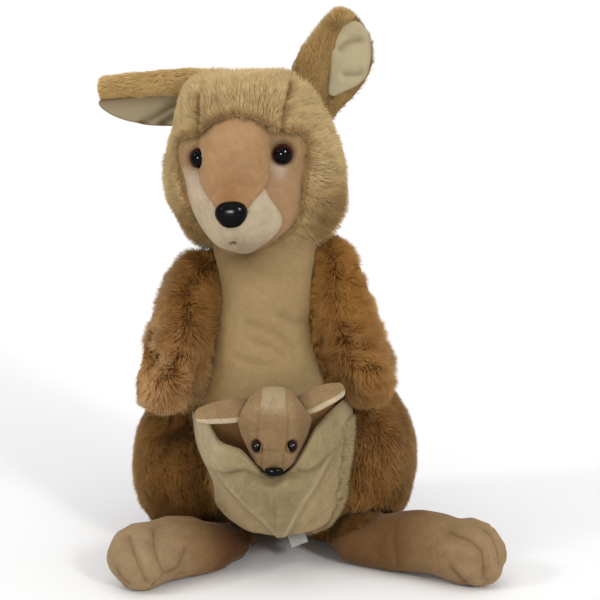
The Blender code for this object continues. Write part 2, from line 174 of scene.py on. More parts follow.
@dataclass(frozen=True)
class Ripple:
    """A smooth random field over space, made of a few sine waves.

    Args:
        wavelength: size of its waves, in metres.
        seed: start of its random numbers.
        channels: how many values it gives at each point.
    """

    wavelength: float
    seed: int
    channels: int = 3
    waves: int = 9

    def at(self, points: Array) -> Array:
        """Return the field at some points, mostly between -1 and 1.

        Args:
            points: places, in metres.

        Returns:
            One column for each channel.
        """
        rng = np.random.default_rng(self.seed)
        total = np.zeros((len(points), self.channels))
        for channel in range(self.channels):
            directions = unit(rng.normal(size=(self.waves, 3)))
            numbers = 2 * math.pi / (self.wavelength * rng.uniform(0.7, 1.5, self.waves))
            phases = rng.uniform(0, 2 * math.pi, self.waves)
            waves = np.sin(points @ (directions * numbers[:, None]).T + phases)
            total[:, channel] = waves.sum(axis=1) / math.sqrt(self.waves)
        return total


@dataclass(frozen=True)
class Grid:
    """A millimetre grid laid somewhere in the model.

    Args:
        origin: its origin in the model's frame, in metres.
        axes: its three directions, one in each column.
    """

    origin: Array
    axes: Array

    def out(self, points: Array) -> Array:
        """Return grid points in millimetres as places in the model."""
        return self.origin + np.asarray(points, dtype=float) @ self.axes.T * MM

    def into(self, places: Array) -> Array:
        """Return places in the model as grid points in millimetres."""
        return (np.asarray(places, dtype=float) - self.origin) @ self.axes / MM

    def turned(self, origin: Sequence[float], turn: Euler) -> "Grid":
        """Return a grid that stands at a point of this one, turned from it."""
        return Grid(self.out(np.array(origin)), self.axes @ np.array(turn.to_matrix()))


@dataclass(frozen=True)
class Layout:
    """Where the toy, its head and its joey stand, read from the solids."""

    joey_nose: Point = (3.6, -110.6, 76.4)
    head_centre: Point = (-9, -12, 238)
    head_turn: Point = (0, -4, -10)
    joey_centre: Point = (3.6, -86, 96)

    def toy(self) -> Grid:
        """Return the toy's own grid."""
        low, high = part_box("joey_nose")
        middle = np.array((low + high) / 2)
        return Grid(middle - np.array(self.joey_nose) * MM, np.eye(3))

    def head(self) -> Grid:
        """Return the grid that turns with the head."""
        return self.toy().turned(self.head_centre, Euler([math.radians(a) for a in self.head_turn]))

    def joey(self) -> Grid:
        """Return the grid of the joey's head."""
        return self.toy().turned(self.joey_centre, Euler((0, 0, 0)))


LAYOUT = Layout()
TOY, HEAD, JOEY = LAYOUT.toy(), LAYOUT.head(), LAYOUT.joey()


# ------------------------------------------------------------------ working on meshes
class Bench:
    """The bench where pieces are picked up, shaped and finished by operators."""

    @staticmethod
    def only(*items: Piece) -> None:
        """Select some objects and nothing else, the first of them active."""
        if bpy.context.mode != "OBJECT":
            bpy.ops.object.mode_set(mode="OBJECT")
        bpy.ops.object.select_all(action="DESELECT")
        for item in items:
            item.select_set(True)
        bpy.context.view_layer.objects.active = items[0]

    @staticmethod
    def apply(item: Piece, kind: str, **settings: object) -> None:
        """Add one modifier to a piece and apply it."""
        Bench.only(item)
        modifier = item.modifiers.new(kind.lower(), kind)
        for key, value in settings.items():
            setattr(modifier, key, value)
        bpy.ops.object.modifier_apply(modifier=modifier.name)

    @staticmethod
    def edit(item: Piece, operator: Callable, **settings: object) -> None:
        """Run one edit-mode operator on the whole of a piece."""
        Bench.only(item)
        bpy.ops.object.mode_set(mode="EDIT")
        bpy.ops.mesh.select_all(action="SELECT")
        operator(**settings)
        bpy.ops.object.mode_set(mode="OBJECT")

    @staticmethod
    def add(name: str, data: bpy.types.ID) -> Piece:
        """Put a new object with some data into the scene."""
        item = bpy.data.objects.new(name, data)
        bpy.context.scene.collection.objects.link(item)
        return item

    @staticmethod
    def made(name: str) -> Piece:
        """Return the object that an operator has just added, named."""
        piece = bpy.context.active_object
        piece.name = piece.data.name = name
        return piece

    @staticmethod
    def places(item: Piece) -> Array:
        """Return a piece's vertices as an array."""
        flat = np.empty(len(item.data.vertices) * 3)
        item.data.vertices.foreach_get("co", flat)
        return flat.reshape(-1, 3)

    @staticmethod
    def move(item: Piece, places: Array) -> None:
        """Set a piece's vertices from an array."""
        item.data.vertices.foreach_set("co", np.asarray(places, dtype=float).ravel())
        item.data.update()

    @staticmethod
    def normals(item: Piece) -> Array:
        """Return the directions that a piece's vertices face."""
        flat = np.empty(len(item.data.vertices) * 3)
        item.data.vertices.foreach_get("normal", flat)
        return flat.reshape(-1, 3)

    @staticmethod
    def push(item: Piece, rise: Array) -> None:
        """Move each vertex outwards by its own distance in metres."""
        Bench.move(item, Bench.places(item) + Bench.normals(item) * np.asarray(rise)[:, None])

    @staticmethod
    def paint(item: Piece, name: str, values: Array) -> None:
        """Keep one number for each vertex under a name that a material can read."""
        layer = item.data.attributes.new(name, "FLOAT", "POINT")
        layer.data.foreach_set("value", np.asarray(values, dtype=np.float32))

    @staticmethod
    def put_in_order(item: Piece) -> None:
        """Number a piece's vertices and faces by where they are, the same in every run.

        Args:
            item: the piece, whose mesh is built anew.
        """
        places = Bench.places(item)
        order = np.lexsort(places.T)
        rank = np.argsort(order)
        faces = []
        for polygon in item.data.polygons:
            face = [int(rank[vertex]) for vertex in polygon.vertices]
            first = face.index(min(face))
            faces.append(face[first:] + face[:first])
        item.data.clear_geometry()
        item.data.from_pydata(places[order], [], sorted(faces))

    @staticmethod
    def ball(name: str, segments: int, rings: int) -> tuple[Piece, Array]:
        """Add a round ball to be shaped, with its poles at the front and the back.

        Args:
            name: the piece's name.
            segments: faces around it.
            rings: rows of faces from the front pole to the back pole.

        Returns:
            The object, and its vertices as directions from the middle.
        """
        bpy.ops.mesh.primitive_uv_sphere_add(segments=segments, ring_count=rings, radius=1)
        piece = Bench.made(name)
        Bench.put_in_order(piece)
        x, y, z = Bench.places(piece).T
        directions = np.stack([x, -z, y], axis=1)
        Bench.move(piece, directions)
        piece.data.shade_smooth()
        return piece, unit(directions)

    @staticmethod
    def copy_of(node: str, swell: float = 0.0) -> Piece:
        """Return a merged copy of a solid's mesh, grown by some millimetres all round.

        Args:
            node: the solid's name.
            swell: millimetres of growth.

        Returns:
            The copy.
        """
        bm = bmesh.new()
        bm.from_mesh(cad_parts[node].data)
        bmesh.ops.remove_doubles(bm, verts=bm.verts, dist=1e-6)
        bm.normal_update()
        moves = [vertex.normal * swell * MM for vertex in bm.verts]
        for vertex, move in zip(bm.verts, moves):
            vertex.co += move
        mesh_data = bpy.data.meshes.new(node + "_copy")
        bm.to_mesh(mesh_data)
        bm.free()
        return Bench.add(node + "_copy", mesh_data)

    @staticmethod
    def keep_main(item: Piece) -> None:
        """Delete every loose shell of a mesh but the largest.

        Args:
            item: the piece to clean.
        """
        bm = bmesh.new()
        bm.from_mesh(item.data)
        unseen = set(bm.verts)
        bodies = []
        while unseen:
            reached, waiting = set(), [next(iter(unseen))]
            while waiting:
                vertex = waiting.pop()
                if vertex not in reached:
                    reached.add(vertex)
                    waiting.extend(edge.other_vert(vertex) for edge in vertex.link_edges)
            unseen -= reached
            bodies.append(reached)
        if len(bodies) > 1:
            main = max(bodies, key=len)
            bmesh.ops.delete(bm, geom=[v for v in bm.verts if v not in main], context="VERTS")
            bm.to_mesh(item.data)
        bm.free()


@dataclass
class Skin:
    """A sewn and stuffed cloth shape, made from one or more solids.

    Args:
        name: the piece's name.
        nodes: the solids that it follows.
        voxel: size of its mesh.
        swell: how far the solids grow first, so that their gaps close.
        relax: how many times its mesh is smoothed.
    """

    name: str
    nodes: tuple[str, ...]
    voxel: float
    swell: float = 0.5
    relax: int = 12

    def make(self, *extra: Piece) -> Piece:
        """Merge the solids, with any extra shapes, into one smooth closed mesh.

        Args:
            extra: pieces to merge with the solids.

        Returns:
            The skin.
        """
        parts = [Bench.copy_of(node, self.swell) for node in self.nodes] + list(extra)
        Bench.only(*parts)
        if len(parts) > 1:
            bpy.ops.object.join()
        piece = parts[0]
        piece.name = piece.data.name = self.name
        Bench.apply(piece, "REMESH", mode="VOXEL", voxel_size=self.voxel * MM, adaptivity=0)
        Bench.keep_main(piece)
        if self.relax:
            Bench.apply(piece, "SMOOTH", factor=0.5, iterations=self.relax)
        piece.data.shade_smooth()
        return piece


class Nearby:
    """Measures how far places are from a solid."""

    def __init__(self, node: str) -> None:
        """Read the solid's faces."""
        bm = bmesh.new()
        bm.from_mesh(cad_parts[node].data)
        self.tree = BVHTree.FromBMesh(bm)
        bm.free()
        low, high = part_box(node)
        self.low, self.high = np.array(low), np.array(high)

    def depth(self, places: Array, reach: float) -> Array:
        """Return each place's distance outside the solid, negative inside, to a limit.

        Args:
            places: places to measure from.
            reach: the greatest distance told.

        Returns:
            The distances, in metres.
        """
        found = np.full(len(places), reach)
        close = np.all((places > self.low - reach) & (places < self.high + reach), axis=1)
        for i in np.nonzero(close)[0]:
            spot, normal, _, distance = self.tree.find_nearest(places[i], reach)
            if spot is not None:
                inside = (Vector(places[i]) - spot).dot(normal) < 0
                found[i] = -distance if inside else distance
        return found


def nearest_node(places: Array, names: Sequence[str]) -> Array:
    """Return, for each place, the position in a list of the solid that it is nearest to."""
    gaps = np.stack([np.abs(Nearby(name).depth(places, 0.05)) for name in names])
    return gaps.argmin(axis=0)


# ------------------------------------------------------------------ finishes
@dataclass
class Wiring:
    """A short way to add shader nodes to a tree and join them."""

    tree: bpy.types.NodeTree

    def settle(self, node: bpy.types.Node, inputs: dict) -> bpy.types.Node:
        """Link or set some of a node's inputs."""
        for key, value in inputs.items():
            if isinstance(value, bpy.types.NodeSocket):
                self.tree.links.new(value, node.inputs[key])
            else:
                node.inputs[key].default_value = value
        return node

    def add(self, kind: str, inputs: dict | None = None, **settings: object) -> bpy.types.Node:
        """Add a node, set its options, and link or set its inputs."""
        node = self.tree.nodes.new(kind)
        for key, value in settings.items():
            setattr(node, key, value)
        return self.settle(node, inputs or {})

    def mix(self, factor: object, first: object, second: object, blend: str = "MIX") -> Socket:
        """Mix two colours and return the result's socket."""
        return self.add("ShaderNodeMix", {0: factor, 6: first, 7: second}, data_type="RGBA",
                        blend_type=blend).outputs[2]

    def sum(self, operation: str, first: object, second: object = 0.0) -> Socket:
        """Work out one number from two and return its socket."""
        return self.add("ShaderNodeMath", {0: first, 1: second}, operation=operation).outputs[0]

    def swing(self, value: Socket, amount: object) -> Socket:
        """Return how far a value lies from a half, times an amount."""
        return self.sum("MULTIPLY", self.sum("SUBTRACT", value, 0.5), amount)

    def step(self, value: object, low: float, high: float, first: float = 0.0,
             last: float = 1.0) -> Socket:
        """Return a smooth step from first to last as a value passes from low to high."""
        return self.add("ShaderNodeMapRange", {0: value, 1: low, 2: high, 3: first, 4: last},
                        interpolation_type="SMOOTHSTEP").outputs[0]

    def number(self, name: str) -> Socket:
        """Read a number that was painted on the vertices."""
        return self.add("ShaderNodeAttribute", attribute_name=name).outputs["Fac"]

    def pattern(self, kind: str, scale: float, settings: dict | None = None,
                **inputs: float) -> Socket:
        """Return a noise or wave pattern over the piece's own places."""
        spot = self.add("ShaderNodeTexCoord").outputs["Object"]
        return self.add("ShaderNodeTex" + kind, {"Vector": spot, "Scale": scale, **inputs},
                        **(settings or {})).outputs["Fac"]

    def lit(self, colour: Socket, value: Socket) -> Socket:
        """Multiply a colour by a number."""
        grey = self.add("ShaderNodeCombineColor", {0: value, 1: value, 2: value}).outputs[0]
        return self.mix(1.0, colour, grey, "MULTIPLY")

    def bump(self, strength: float, distance: float, height: Socket) -> Socket:
        """Return the normal of a surface with small bumps."""
        return self.add("ShaderNodeBump", {"Strength": strength, "Distance": distance,
                                           "Height": height}).outputs["Normal"]


class Effects:
    """Shader node groups that several finishes use, each made once."""

    @staticmethod
    def group(name: str, sockets: dict[tuple[str, str], str]) -> tuple[bpy.types.NodeTree, bool]:
        """Return a node group by name, and whether it is new and still empty.

        Args:
            name: the group's name.
            sockets: the names of its sockets, by INPUT or OUTPUT and by kind.

        Returns:
            The group's node tree, and True when it has to be filled.
        """
        tree = bpy.data.node_groups.get(name)
        if tree is not None:
            return tree, False
        tree = bpy.data.node_groups.new(name, "ShaderNodeTree")
        for (way, kind), titles in sockets.items():
            for title in titles.split():
                tree.interface.new_socket(name=title, in_out=way,
                                          socket_type="NodeSocket" + kind)
        return tree, True

    @staticmethod
    def strand_tone() -> bpy.types.NodeTree:
        """Return the group that colours a strand from its root to its tip."""
        tree, new = Effects.group("strand_tone", {
            ("INPUT", "Color"): "Root Middle Tip Bloom",
            ("INPUT", "Float"): "Along Bloomed Shade Patches", ("OUTPUT", "Color"): "Colour"})
        if new:
            w = Wiring(tree)
            given = w.add("NodeGroupInput").outputs
            lower = w.mix(w.step(given["Along"], 0.0, 0.5), given["Root"], given["Middle"])
            tip = w.mix(given["Bloomed"], given["Tip"], given["Bloom"])
            upper = w.mix(w.step(given["Along"], 0.35, 1.0), lower, tip)
            noise = w.pattern("Noise", 45.0, Detail=3.0, Roughness=0.6)
            patch = w.swing(noise, given["Patches"])
            value = w.sum("ADD", w.sum("ADD", given["Shade"], patch), 0.5)
            w.add("NodeGroupOutput", {"Colour": w.lit(upper, value)})
        return tree

    @staticmethod
    def nap() -> bpy.types.NodeTree:
        """Return the group that gives short velour its brushed patches and fine grain."""
        tree, new = Effects.group("nap", {
            ("INPUT", "Color"): "Colour", ("INPUT", "Float"): "Mottle Grain Ribs",
            ("OUTPUT", "Color"): "Colour", ("OUTPUT", "Float"): "Height"})
        if new:
            w = Wiring(tree)
            given = w.add("NodeGroupInput").outputs
            fine = w.pattern("Noise", 1900.0, Detail=2.0, Roughness=0.6)
            brushed = w.pattern("Noise", 170.0, Detail=4.0, Roughness=0.62, Distortion=0.8)
            broad = w.pattern("Noise", 38.0, Detail=2.0, Roughness=0.5)
            knit = w.pattern("Wave", 240.0, Distortion=5.0, Detail=2.0)
            patches = w.sum("ADD", w.sum("MULTIPLY", brushed, 0.55), w.sum("MULTIPLY", broad, 0.45))
            value = w.sum("ADD", w.swing(patches, given["Mottle"]), w.swing(fine, given["Grain"]))
            value = w.sum("ADD", w.sum("ADD", value, w.swing(knit, given["Ribs"])), 1.0)
            height = w.sum("ADD", w.sum("MULTIPLY", fine, 0.65), w.sum("MULTIPLY", brushed, 0.35))
            w.add("NodeGroupOutput", {"Colour": w.lit(given["Colour"], value), "Height": height})
        return tree


def new_material(name: str) -> tuple[bpy.types.Material, Wiring, bpy.types.Node]:
    """Make a node material and return it, its wiring and its surface shader."""
    material = bpy.data.materials.new(name)
    material.use_nodes = True
    return material, Wiring(material.node_tree), material.node_tree.nodes["Principled BSDF"]


def rgba(colour: Colour) -> tuple[float, float, float, float]:
    """Return a colour with full opacity."""
    return (*colour, 1.0)


@dataclass(frozen=True)
class Finish:
    """What a piece is made of."""

    name: str

    def material(self) -> bpy.types.Material:
        """Return the finish's material, made once."""
        if self.name not in bpy.data.materials:
            _, w, shader = new_material(self.name)
            w.settle(shader, self.surface(w))
        return bpy.data.materials[self.name]

    def surface(self, w: Wiring) -> dict:
        """Return what the surface shader's inputs are linked or set to."""
        raise NotImplementedError


@dataclass(frozen=True)
class PileFinish(Finish):
    """Long plush fur, darker at the root than at the tip."""

    root: Colour
    middle: Colour
    tip: Colour
    bloom: Colour
    patches: float = 0.45

    def surface(self, w: Wiring) -> dict:
        """Return the strands' tone, with a warm sheen."""
        tone = w.add("ShaderNodeGroup", {
            "Root": rgba(self.root), "Middle": rgba(self.middle), "Tip": rgba(self.tip),
            "Bloom": rgba(self.bloom), "Bloomed": w.number("bloom"), "Patches": self.patches,
            "Along": w.number("along"), "Shade": w.number("shade")},
                     node_tree=Effects.strand_tone())
        return {"Base Color": tone.outputs["Colour"], "Roughness": 0.9,
                "Specular IOR Level": 0.03, "Sheen Weight": 0.2, "Sheen Roughness": 0.5,
                "Sheen Tint": (0.9, 0.6, 0.3, 1)}


@dataclass(frozen=True)
class VelourFinish(Finish):
    """Short brushed velour, darker at its seams and with painted shade in its creases."""

    colour: Colour
    mottle: float = 0.35
    grain: float = 0.25
    sheen: float = 0.2
    bump: float = 0.35
    ribs: float = 0.0

    def ground(self, w: Wiring) -> Socket | tuple:
        """Return the plain colour of the cloth, before its nap."""
        return rgba(self.colour)

    def surface(self, w: Wiring) -> dict:
        """Return the cloth's nap, its seams and its painted shade, with a warm sheen."""
        nap = w.add("ShaderNodeGroup", {"Mottle": self.mottle, "Grain": self.grain,
                                        "Ribs": self.ribs, "Colour": self.ground(w)},
                    node_tree=Effects.nap())
        # The painted number darkens seams and lays painted shade into creases and recesses.
        sewn = w.mix(w.number("seam"), nap.outputs["Colour"], (0.30, 0.22, 0.16, 1), "MULTIPLY")
        return {"Base Color": sewn, "Normal": w.bump(self.bump, 0.0006, nap.outputs["Height"]),
                "Roughness": 0.92, "Specular IOR Level": 0.06, "Sheen Weight": self.sheen,
                "Sheen Roughness": 0.45, "Sheen Tint": (1.0, 0.72, 0.45, 1)}


@dataclass(frozen=True)
class PanelFinish(VelourFinish):
    """Velour sewn from panels of other colours, each where its painted number is above nought. Some
    of these panels are painted shade, and one is a painted highlight.
    """

    panels: tuple[tuple[str, Colour, float], ...] = ()

    def ground(self, w: Wiring) -> Socket | tuple:
        """Return the cloth's colour with every panel laid over it."""
        result: object = rgba(self.colour)
        for name, colour, softness in self.panels:
            inside = w.step(w.number(name), -softness, softness)
            result = w.mix(inside, result, rgba(colour))
        return result


@dataclass(frozen=True)
class GlossFinish(Finish):
    """Polished plastic, darker in the middle than at its rim."""

    middle: Colour
    rim: Colour
    rim_from: float = 0.6
    roughness: float = 0.08
    specular: float = 0.22

    def surface(self, w: Wiring) -> dict:
        """Return the middle's colour turning to the rim's, with a slightly uneven polish."""
        ring = w.step(w.number("rim"), self.rim_from, self.rim_from + 0.25)
        noise = w.pattern("Noise", 700.0, Detail=3.0)
        return {"Base Color": w.mix(ring, rgba(self.middle), rgba(self.rim)),
                "Roughness": w.step(noise, 0.45, 0.8, self.roughness, self.roughness + 0.07),
                "Specular IOR Level": self.specular}


@dataclass(frozen=True)
class RibbonFinish(Finish):
    """Plain woven ribbon."""

    colour: Colour

    def surface(self, w: Wiring) -> dict:
        """Return the ribbon's weave."""
        weave = w.sum("MULTIPLY", *(w.pattern("Wave", 320.0, {"bands_direction": way},
                                              Distortion=0.4) for way in ("X", "Z")))
        tone = w.mix(w.step(weave, 0.0, 0.6), rgba(tuple(c * 0.8 for c in self.colour)),
                     rgba(self.colour))
        return {"Base Color": tone, "Normal": w.bump(0.4, 0.0002, weave), "Roughness": 0.6}


# The hood's bloom colour is a darker warm brown, laid by its coat as painted shade.
HOOD_FUR = PileFinish("hood_fur", (0.35, 0.19, 0.068), (0.504, 0.347, 0.154),
                      (0.605, 0.456, 0.231), (0.30, 0.155, 0.055), patches=0.6)
EAR_FUR = PileFinish("ear_fur", (0.36, 0.2, 0.068), (0.426, 0.254, 0.0845), (0.568, 0.377, 0.15),
                     (0.71, 0.529, 0.24), patches=0.3)
# The body's pale bloom colour is laid as painted sheen on the outer sides of the arms, thighs and
# back, and also pales the tips toward the paws.
BODY_FUR = PileFinish("body_fur", (0.0969, 0.0308, 0.0055), (0.228, 0.0946, 0.0176),
                      (0.331, 0.165, 0.0462), (0.46, 0.305, 0.155), patches=1.1)
UNDER_TAN = VelourFinish("under_tan", (0.26, 0.155, 0.06), sheen=0.0)
UNDER_BROWN = VelourFinish("under_brown", (0.15, 0.066, 0.018), sheen=0.0)
TAN_VELOUR = VelourFinish("tan_velour", (0.28, 0.165, 0.07))
# The heel panel is painted shade; the ankle panel's darker colour is partly the cloth's and partly
# painted shade.
FOOT_VELOUR = PanelFinish("foot_velour", (0.275, 0.178, 0.09), 1.15, 0.5, bump=0.6, panels=(
    ("toe", (0.288, 0.195, 0.106), 0.25), ("ankle", (0.147, 0.073, 0.026), 0.42),
    ("heel", (0.08, 0.033, 0.011), 0.2), ("thread", (0.37, 0.25, 0.14), 0.45)))
# The inner and side panels are painted shade, inside the pouch and beside the right arm.
CREAM_VELOUR = PanelFinish("cream_velour", (0.302, 0.207, 0.093), 0.75, panels=(
    ("inner", (0.25, 0.125, 0.045), 3.0), ("side", (0.225, 0.132, 0.045), 9.0)))
# The pale panel is a painted highlight along the fold ridges, and pales the upper sides.
POUCH_VELOUR = PanelFinish("pouch_velour", (0.262, 0.2, 0.103), 1.3, 0.5, bump=0.5, panels=(
    ("flank", (0.315, 0.232, 0.122), 2.0), ("pale", (0.385, 0.312, 0.187), 10.0)))
CREAM_PILE = PileFinish("cream_pile", (0.30, 0.22, 0.11), (0.37, 0.285, 0.15), (0.44, 0.345, 0.19),
                        (0.48, 0.39, 0.22), patches=0.3)
LINING_VELOUR = VelourFinish("lining_velour", (0.425, 0.354, 0.218))
FACE_VELOUR = PanelFinish("face_velour", (0.29, 0.172, 0.086), 0.95, 0.4, panels=(
    ("brow", (0.274, 0.168, 0.077), 6.0), ("pale", (0.448, 0.342, 0.242), 5.0),
    ("muzzle", (0.425, 0.343, 0.228), 0.5), ("bridge", (0.352, 0.207, 0.098), 0.5),
    ("warm", (0.262, 0.129, 0.05), 9.0)))
JOEY_VELOUR = PanelFinish("joey_velour", (0.278, 0.18, 0.087), 1.1, 1.2, ribs=0.1, bump=0.6,
                          panels=(("cream", (0.475, 0.388, 0.252), 0.5),))
EYE_PLASTIC = GlossFinish("eye_plastic", (0.002, 0.0015, 0.0015), (0.06, 0.012, 0.005), 0.72,
                          roughness=0.06, specular=0.07)
JOEY_PLASTIC = GlossFinish("joey_plastic", (0.002, 0.0015, 0.0015), (0.02, 0.006, 0.003),
                           roughness=0.22, specular=0.12)
NOSE_PLASTIC = GlossFinish("nose_plastic", (0.003, 0.003, 0.0035), (0.003, 0.003, 0.0035),
                           roughness=0.2, specular=0.055)
WHITE_RIBBON = RibbonFinish("white_ribbon", (0.30, 0.285, 0.26))


def dress(piece: Piece, finish: Finish, slot: str, *nodes: str,
          fill: float | None = None) -> Piece:
    """Give a piece its finish and its place in the model.

    Args:
        piece: the finished piece.
        finish: what it is made of.
        slot: the record's material slot; not used.
        nodes: the solids that it stands for.
        fill: how tightly it is stuffed, if it is; not used.

    Returns:
        The piece.
    """
    piece.data.materials.clear()
    piece.data.materials.append(finish.material())
    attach(piece, "root")
    if nodes:
        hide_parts(*nodes)
    log.info("%s: %d faces", piece.name, len(piece.data.polygons))
    return piece


# ------------------------------------------------------------------ coats
@dataclass
class Roots:
    """Where a coat's strands start.

    Args:
        places: points on the skin.
        normals: the directions that the skin faces there.
        uv: the same points on the skin's unwrap.
    """

    places: Array
    normals: Array
    uv: Array

    def keep(self, wanted: Array) -> "Roots":
        """Return only some of the roots."""
        return Roots(self.places[wanted], self.normals[wanted], self.uv[wanted])


class Ground:
    """A skin as the ground that coats grow from: its faces and its unwrap, read once."""

    def __init__(self, skin: Piece) -> None:
        """Unwrap the skin and read its triangles."""
        skin.data.uv_layers.new(name="OFBake")
        Bench.edit(skin, bpy.ops.uv.smart_project, angle_limit=math.radians(66),
                   island_margin=0.002)
        mesh = skin.data
        mesh.calc_loop_triangles()
        count = len(mesh.loop_triangles)
        corners, loops = np.empty(count * 3, int), np.empty(count * 3, int)
        mesh.loop_triangles.foreach_get("vertices", corners)
        mesh.loop_triangles.foreach_get("loops", loops)
        uv = np.empty(len(mesh.loops) * 2)
        mesh.uv_layers["OFBake"].data.foreach_get("uv", uv)
        self.corners = corners.reshape(-1, 3)
        self.uv = uv.reshape(-1, 2)[loops.reshape(-1, 3)]
        self.places, self.normals = Bench.places(skin), Bench.normals(skin)
        a, b, c = (self.places[self.corners[:, k]] for k in range(3))
        self.areas = np.linalg.norm(np.cross(b - a, c - a), axis=1) / 2

    def scatter(self, count: int, wanted: Array, rng: np.random.Generator) -> Roots:
        """Spread roots evenly over part of the skin.

        Args:
            count: how many roots, at most.
            wanted: for each vertex, whether the coat grows there.
            rng: source of random numbers.

        Returns:
            The roots.
        """
        areas = self.areas * wanted[self.corners].all(axis=1)
        total = areas.sum()
        cell = math.sqrt(1.45 * total / count)
        pick = np.searchsorted(np.cumsum(areas) / total, rng.random(6 * count) * 0.999999)
        first, second = np.sqrt(rng.random(len(pick))), rng.random(len(pick))
        weights = np.stack([1 - first, first * (1 - second), first * second], axis=1)
        places = (self.places[self.corners[pick]] * weights[:, :, None]).sum(axis=1)
        chosen = first_in_cells(places, cell)
        if len(chosen) > count:
            chosen = rng.permutation(chosen)[:count]
        pick, share = pick[chosen], weights[chosen][:, :, None]
        normals = unit((self.normals[self.corners[pick]] * share).sum(axis=1))
        return Roots(places[chosen], normals, (self.uv[pick] * share).sum(axis=1))


def lying(direction: Sequence[float]) -> Lie:
    """Return a lie that points the same way everywhere."""
    return lambda places, normals: np.tile(np.asarray(direction, dtype=float), (len(places), 1))


def lying_beside(line: Array, droop: float) -> Lie:
    """Return a lie that parts along a line through the model and falls to both sides."""
    def lie(places: Array, normals: Array) -> Array:
        """Return the lie, away from the nearest place on the line."""
        steps = np.concatenate([start + (end - start) * np.linspace(0, 1, 12)[:, None]
                                for start, end in zip(line, line[1:])])
        gaps = np.linalg.norm(places[:, None] - steps[None], axis=2)
        return unit(places - steps[gaps.argmin(axis=1)]) - np.array([0, 0, droop])
    return lie


def lying_from(centre: Array, droop: float = 0.0) -> Lie:
    """Return a lie that spreads away from a place, drawn down a little."""
    return lambda places, normals: unit(places - centre) - np.array([0, 0, droop])


